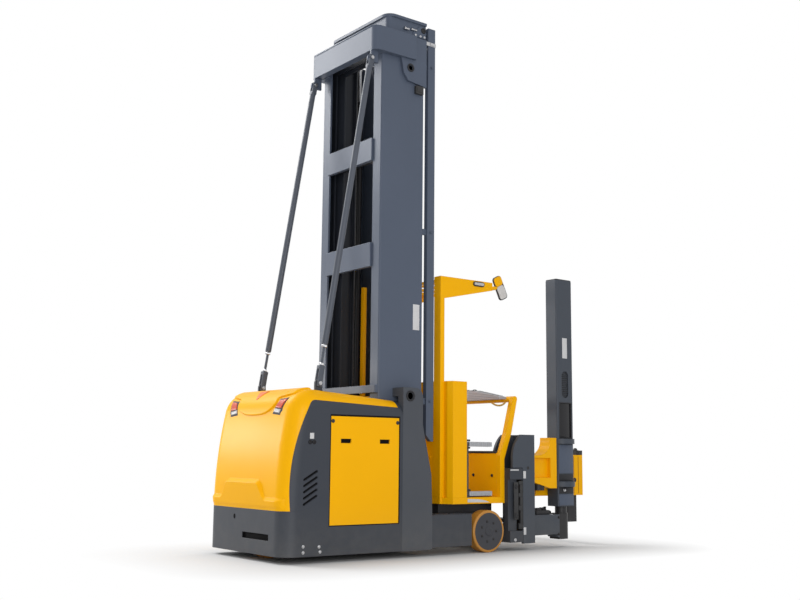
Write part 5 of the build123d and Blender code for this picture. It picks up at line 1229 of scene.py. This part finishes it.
def makeBackrest(look):
    (back, front), half, (low, high), inset = look["s"], look["y"], look["z"], look["inset"]
    corner = (front - inset, half - inset, high - inset)
    shape = block((back + 2, inset - half, low + inset), corner, look["edge"])
    pad = bpy.data.objects.new("backPad", joined("backPad", [shape]))
    scene.collection.objects.link(pad)
    remesh = pad.modifiers.new("even", "REMESH")
    remesh.mode = "VOXEL"
    remesh.voxel_size = look["voxel"]
    pad.data = baked(pad)
    pad.modifiers.clear()
    before = [point.co.copy() for point in pad.data.vertices]
    cloth = pad.modifiers.new("swell", "CLOTH")
    cloth.settings.use_pressure = True
    cloth.settings.uniform_pressure_force = look["pressure"]
    cloth.settings.effector_weights.gravity = 0.0
    for step in range(1, look["steps"] + 1):
        scene.frame_set(step)
    swollen = baked(pad)
    pad.modifiers.clear()
    scene.frame_set(1)
    for point, start, moved in zip(pad.data.vertices, before, swollen.vertices):
        push = moved.co - start
        point.co = start + push * min(1.0, look["cap"] / max(push.length, 1e-9))
    bpy.data.meshes.remove(swollen)
    wall, face = rear + back / 1000, rear + front / 1000
    for point in pad.data.vertices:
        inward = (point.co.x - wall) / (face - wall)
        away = min(abs(point.co.z - z / 1000) for z in look["channels"])
        groove = math.exp(-(away / look["channelWide"]) ** 2)
        border = math.exp(-((abs(point.co.y) - (half - look["seam"]) / 1000) / look["seamWide"]) ** 2)
        sewn = look["sewn"] * max(groove, look["seamShare"] * border)
        point.co.x -= sewn * min(1.0, max(0.0, inward) * 1.3)
        point.co.x = min(max(point.co.x, wall), face + look["proud"])
    finer = pad.modifiers.new("finer", "SUBSURF")
    finer.levels = 1
    finer.render_levels = 1
    mesh = baked(pad)
    pad.modifiers.clear()
    bpy.data.objects.remove(pad)
    piece = placed("backrestPad", mesh, "cab", "pad_black", finishes["pad_black"], 80.0)
    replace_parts(piece, "backrest")


makeBackrest(backrest)
print("stage: backrest sewn")


# Traverse: slot covers and rollers on the end posts, end caps on the rails
post = {
    "slotS": (2640, 2698), "slotZ": (300, 664), "rollerS": 2669, "rollerZ": (340, 620),
    "roller": [(8, 0), (20, 0), (22, 2), (22, 6), (18, 8), (10, 8), (9, 5), (2, 5)],
    "capS": 2654, "capZ": 104, "cap": [(17, 0), (17, 4), (14, 7), (8, 7), (7, 4), (2, 4)],
    "railS": (2592, 2706), "railZ": (776, 790),
}
for label, side in sides.items():
    face = outerFace("traverse_frame", side)
    (s0, s1), (z0, z1) = post["slotS"], post["slotZ"]
    emit("postSlot" + label, "cab", "buffer_black", [
        block((s0, face - side * 4, z0), (s1, face + side * 2, z1), 2.0)])
    emit("postRollers" + label, "cab", "black_steel", [
        turned(post["roller"], (post["rollerS"], face + side * 1, z), sideFace[side]) for z in post["rollerZ"]])
    (s0, s1), (z0, z1) = post["railS"], post["railZ"]
    emit("railEnds" + label, "cab", "bare_steel", [
        turned(post["cap"], (post["capS"], face - side * 1, post["capZ"]), sideFace[side]),
        block((s0, face - side * 2, z0), (s1, face + side * 3, z1), 2.0)])

# Shift plates: blank plates, plug and guide blocks
shiftTrim = {
    "plates": [((2768, -682, 700), (2802, -678, 772)), ((2768, -682, 150), (2802, -678, 222))],
    "plug": [(16, -3), (16, 3), (13, 5), (9, 5), (8, 2), (1, 2)], "plugAt": (2833, -680, 803),
    "guideY": (-678, -652), "guideFront": 2766, "guides": [  # rear station, z from and to
        (2712, 205, 262), (2730, 262, 388), (2710, 388, 436), (2728, 436, 520), (2708, 520, 556),
        (2726, 556, 640), (2712, 640, 676),
    ],
}
emit("shiftPlates", "shift", "gate_grey", [block(*corners, 0.8) for corners in shiftTrim["plates"]], blankWhite)
emit("shiftPlug", "shift", "buffer_black", [turned(shiftTrim["plug"], shiftTrim["plugAt"], rightFace)])
y0, y1 = shiftTrim["guideY"]
emit("guideBlocks", "shift", "buffer_black", [
    block((s, y0, z0), (shiftTrim["guideFront"], y1, z1), 3.0) for s, z0, z1 in shiftTrim["guides"]])

# Lower arm: valve block with fittings on top, flange bolts
valve = {
    "body": ((3060, -565, 329), (3250, -497, 374)), "top": ((3078, -552, 373), (3142, -508, 398)),
    "fittings": [
        ([(18, 0), (18, 10), (13, 13), (13, 30), (18, 32), (18, 44), (13, 47)], (3142, -530, 386), "s"),
        ([(18, 0), (18, 10), (13, 13), (13, 22), (17, 24), (17, 32), (12, 35)], (3212, -531, 374), "z"),
        ([(16, 0), (16, 10), (12, 13), (12, 24), (16, 26), (16, 36), (12, 38)], (3238, -545, 352), "s"),
    ],
    "bolts": [(3338, -605, 131), (3338, -605, 300)],
}
shapes = [block(*valve["body"], 4.0), block(*valve["top"], 5.0)]
shapes += [turned(profile, centre, axis, 6) for profile, centre, axis in valve["fittings"]]
emit("armValve", "shift", "black_steel", shapes)
bolts("armBolts", "shift", "black_steel", [(place, rightFace) for place in valve["bolts"]], 10.0, 7.0)

# Swing column: dark window in a frame, ribbed slot, covers between the journals, black sheets as painted shade
# of the openings between the covers, cap
column = {
    "window": ((3357, 1106), (3537, 1480)), "glassY": (-604, -584), "frameY": (-613, -600),
    "slot": ((3398, 1529), (3496, 1808)), "ribY": (-607, -596), "ribs": 14, "ribStep": 19.2,
    "covers": [((3340, -615, 746), (3554, -609, 1044)), ((3340, -615, 420), (3554, -609, 534))],
    "dark": [((3345, -614, 668), (3549, -609, 738)), ((3345, -614, 540), (3549, -609, 604))],
    "label": ((3412, -613, 1945), (3482, -609, 2160)), "cap": ((3334, -606, 2780), (3560, -454, 2791)),
    "fitting": [(18, 0), (18, 6), (13, 9), (13, 15), (9, 18), (2, 18)], "fittingAt": (3414, -614, 575),
}
(s0, z0), (s1, z1) = column["window"]
y0, y1 = column["glassY"]
emit("columnWindow", "swing", "buffer_black", [
    block((s0 + 4, y0, z0 + 4), (s1 - 4, y1, z1 - 4), 4.0)], darkGlass)
y0, y1 = column["frameY"]
frameBars = [
    (s0 - 2, z0 - 2, s0 + 9, z1 + 2), (s1 - 9, z0 - 2, s1 + 2, z1 + 2), (s0 + 8, z0 - 2, s1 - 8, z0 + 9),
    (s0 + 8, z1 - 9, s1 - 8, z1 + 2),
]
emit("windowFrame", "swing", "black_steel", [block((a, y0, b), (c, y1, d), 2.0) for a, b, c, d in frameBars])
(s0, z0), (s1, z1) = column["slot"]
y0, y1 = column["ribY"]
rowOf("slotRibs", "swing", "black_steel", [
    block((s0 + 3, y0, z0 + 8), (s1 - 3, y1, z0 + 17), 2.0)], column["ribs"], (0, 0, column["ribStep"]))
emit("columnCovers", "swing", "mast_grey", [block(*corners, 3.0) for corners in column["covers"]])
emit("columnLabel", "swing", "gate_grey", [block(*column["label"], 0.8)], blankWhite)
# black sheets where the column is open between the covers: painted shade of the openings
emit("columnOpeningShade", "swing", "black_steel", [block(*corners, 2.0) for corners in column["dark"]])
emit("columnFitting", "swing", "bare_steel", [turned(column["fitting"], column["fittingAt"], rightFace, 6)])
emit("columnCap", "swing", "black_steel", [block(*column["cap"], 5.0)])

# Fork frame: dark fittings, grooves, knobs on the caps, sight holes, fork latches
forkFrame = {
    "face": -448.7, "ends": (3092, 3802), "fittingZ": 962,
    "fitting": [(26, -2), (26, 2), (23, 4), (12, 4), (10, 2), (1, 2)],
    "grooves": (3092, 3160, 3734, 3802), "grooveY": (-450.4, -446), "grooveZ": (530, 920), "grooveHalf": 4,
    "knobs": (3094, 3800), "knobY": -410, "knobZ": 985,
    "knob": [(24, -3), (24, 6), (20, 10), (19, 18), (13, 24), (2, 26)],
    "holes": (3149, 3745), "holeZ": 672, "hole": [(24, -2), (24, 2.5), (21, 3.5), (16, 3.5), (15, 1), (1, 1)],
    "latches": (3109, 3785), "latchY": -352,
    "latch": [(16, 0), (16, 10), (11, 14), (11, 34), (18, 38), (18, 50), (10, 56), (2, 57)],
}
face = forkFrame["face"]
emit("frameFittings", "fork_carriage", "black_steel", [
    turned(forkFrame["fitting"], (s, face, forkFrame["fittingZ"]), rightFace) for s in forkFrame["ends"]])
(y0, y1), (z0, z1), half = forkFrame["grooveY"], forkFrame["grooveZ"], forkFrame["grooveHalf"]
# orange-brown strips along the fork frame's grooves: painted shade inside the grooves
emit("frameGrooves", "fork_carriage", "body_yellow", [
    block((s - half, y0, z0), (s + half, y1, z1), 0.8) for s in forkFrame["grooves"]],
    sprayedPaint("grooveShadePaint", grooveShadeLook))
emit("capKnobs", "fork_carriage", "buffer_black", [
    turned(forkFrame["knob"], (s, forkFrame["knobY"], forkFrame["knobZ"]), "z") for s in forkFrame["knobs"]])
emit("sightHoles", "fork_carriage", "buffer_black", [
    turned(forkFrame["hole"], (s, face, forkFrame["holeZ"]), rightFace) for s in forkFrame["holes"]])
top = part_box("forks")[1].z * 1000
emit("forkLatches", "fork_carriage", "bare_steel", [
    turned(forkFrame["latch"], (s, forkFrame["latchY"], top - 2), "z") for s in forkFrame["latches"]])
print("stage: fork head details")


# Wheels: hub caps and bolt circles
loadWheel = {
    "s": 2306, "z": 200, "boltRing": 96, "bolts": 7,
    "cap": [(44, -6), (44, 2), (41, 5), (20, 6), (18, 4), (2, 4)],
}
driveWheel = {"s": 255, "z": 180, "boltRing": 72, "bolts": 8}


def boltCircle(wheel, y, facing):
    heads, radius = [], wheel["boltRing"]
    for k in range(wheel["bolts"]):
        angle = math.tau * k / wheel["bolts"]
        place = (wheel["s"] + math.cos(angle) * radius, y, wheel["z"] + math.sin(angle) * radius)
        heads.append((place, facing))
    return heads


for label, side in sides.items():
    face, body = outerFace("load_disc_" + label.lower(), side), "load_wheel_" + label.lower()
    bolts("discBolts" + label, body, "black_steel", boltCircle(loadWheel, face, sideFace[side]), 9.0, 4.0)
    emit("hubCap" + label, body, "wheel_disc", [
        turned(loadWheel["cap"], (loadWheel["s"], face, loadWheel["z"]), sideFace[side])])
heads = []
for side in sides.values():
    heads += boltCircle(driveWheel, outerFace("drive_disc", side), sideFace[side])
bolts("driveBolts", "drive_wheel", "bare_steel", heads, 9.0, 6.0)
print("stage: wheels")


# Camera of the photograph, fitted to its straight edges
photoView = {
    "place": (-6.5995, -8.424, 0.933), "heading": 52.84, "pitch": 8.28, "roll": 0.57,  # degrees
    "lens": 47.49, "sensor": 36.0, "farClip": 200.0,
}


def setCamera(look):
    data = bpy.data.cameras.new("photoCamera")
    data.lens = look["lens"]
    data.sensor_width = look["sensor"]
    data.clip_end = look["farClip"]
    camera = bpy.data.objects.new("photoCamera", data)
    scene.collection.objects.link(camera)
    heading, pitch = math.radians(look["heading"]), math.radians(look["pitch"])
    ahead = Vector((math.cos(heading) * math.cos(pitch), math.sin(heading) * math.cos(pitch), math.sin(pitch)))
    roll = Quaternion(ahead, -math.radians(look["roll"]))
    camera.rotation_mode = "QUATERNION"
    camera.rotation_quaternion = roll @ ahead.to_track_quat("-Z", "Y")
    camera.location = look["place"]
    scene.camera = camera


# White floor: grey near the truck's footprint as a painted shadow halo over the real shadows there, fading into
# the white backdrop
studio = {
    "floorSize": 60.0, "foot": (1.93, 0.68), "clearTo": 1.15, "haloGrey": 0.7, "skyStrength": 0.6,
    "lamps": [  # name, place, target, size, watts
        ("keyLamp", (-4.5, 6.5, 8.0), (0.0, 0.0, 1.5), 4.5, 640.0),
        ("sideLamp", (-4.5, -10.0, 2.2), (-0.3, 0.0, 1.8), 5.0, 420.0),
        ("frontLamp", (8.0, 3.0, 5.0), (0.5, 0.0, 2.0), 5.0, 220.0),
        ("glossLamp", (-5.8, 7.4, 2.5), (-1.9, 0.0, 1.1), 1.2, 150.0),
    ],
}


def setStudio(look):
    white = (1.0, 1.0, 1.0, 1.0)
    scene.view_settings.view_transform = "Standard"
    scene.world = bpy.data.worlds.new("studioWorld")
    sky = Paint("studioWorld", scene.world)
    level = sky.node("ShaderNodeMix", {}, {0: sky.seen(), 2: look["skyStrength"], 3: 1.0})
    glow = sky.node("ShaderNodeBackground", {}, {"Color": white, "Strength": level})
    sky.node("ShaderNodeOutputWorld", {}, {"Surface": glow})

    mesh = bpy.data.meshes.new("studioFloor")
    half = look["floorSize"]
    corners = [(-half, -half, 0), (half, -half, 0), (half, half, 0), (-half, half, 0)]
    mesh.from_pydata(corners, [], [(0, 1, 2, 3)])
    floor = bpy.data.objects.new("studioFloor", mesh)
    scene.collection.objects.link(floor)
    paint = Paint("floorPaint")
    # distance from the truck's footprint
    offs = [
        paint.maths("MAXIMUM", paint.maths("ABSOLUTE", along) - reach, 0.0)
        for along, reach in zip(paint.axes(), look["foot"])
    ]
    far = paint.maths("SQRT", offs[0] * offs[0] + offs[1] * offs[1])
    clear = (far / look["clearTo"]).clamped()
    # grey near the footprint against white beyond: painted shadow halo around the truck
    matte = paint.node("ShaderNodeBsdfDiffuse", {}, {"Color": (*(look["haloGrey"],) * 3, 1.0)})
    bright = paint.node("ShaderNodeEmission", {}, {"Color": white, "Strength": 1.0})
    shown = paint.node("ShaderNodeMixShader", {}, {0: clear * paint.seen(), 1: matte, 2: bright})
    paint.node("ShaderNodeOutputMaterial", {}, {"Surface": shown})
    mesh.materials.append(paint.owner)

    for name, place, target, size, watts in look["lamps"]:
        data = bpy.data.lights.new(name, "AREA")
        data.energy = watts
        data.size = size
        lamp = bpy.data.objects.new(name, data)
        scene.collection.objects.link(lamp)
        lamp.location = place
        lamp.rotation_mode = "QUATERNION"
        lamp.rotation_quaternion = (Vector(target) - Vector(place)).to_track_quat("-Z", "Y")


setCamera(photoView)
setStudio(studio)
print("stage: camera and studio")
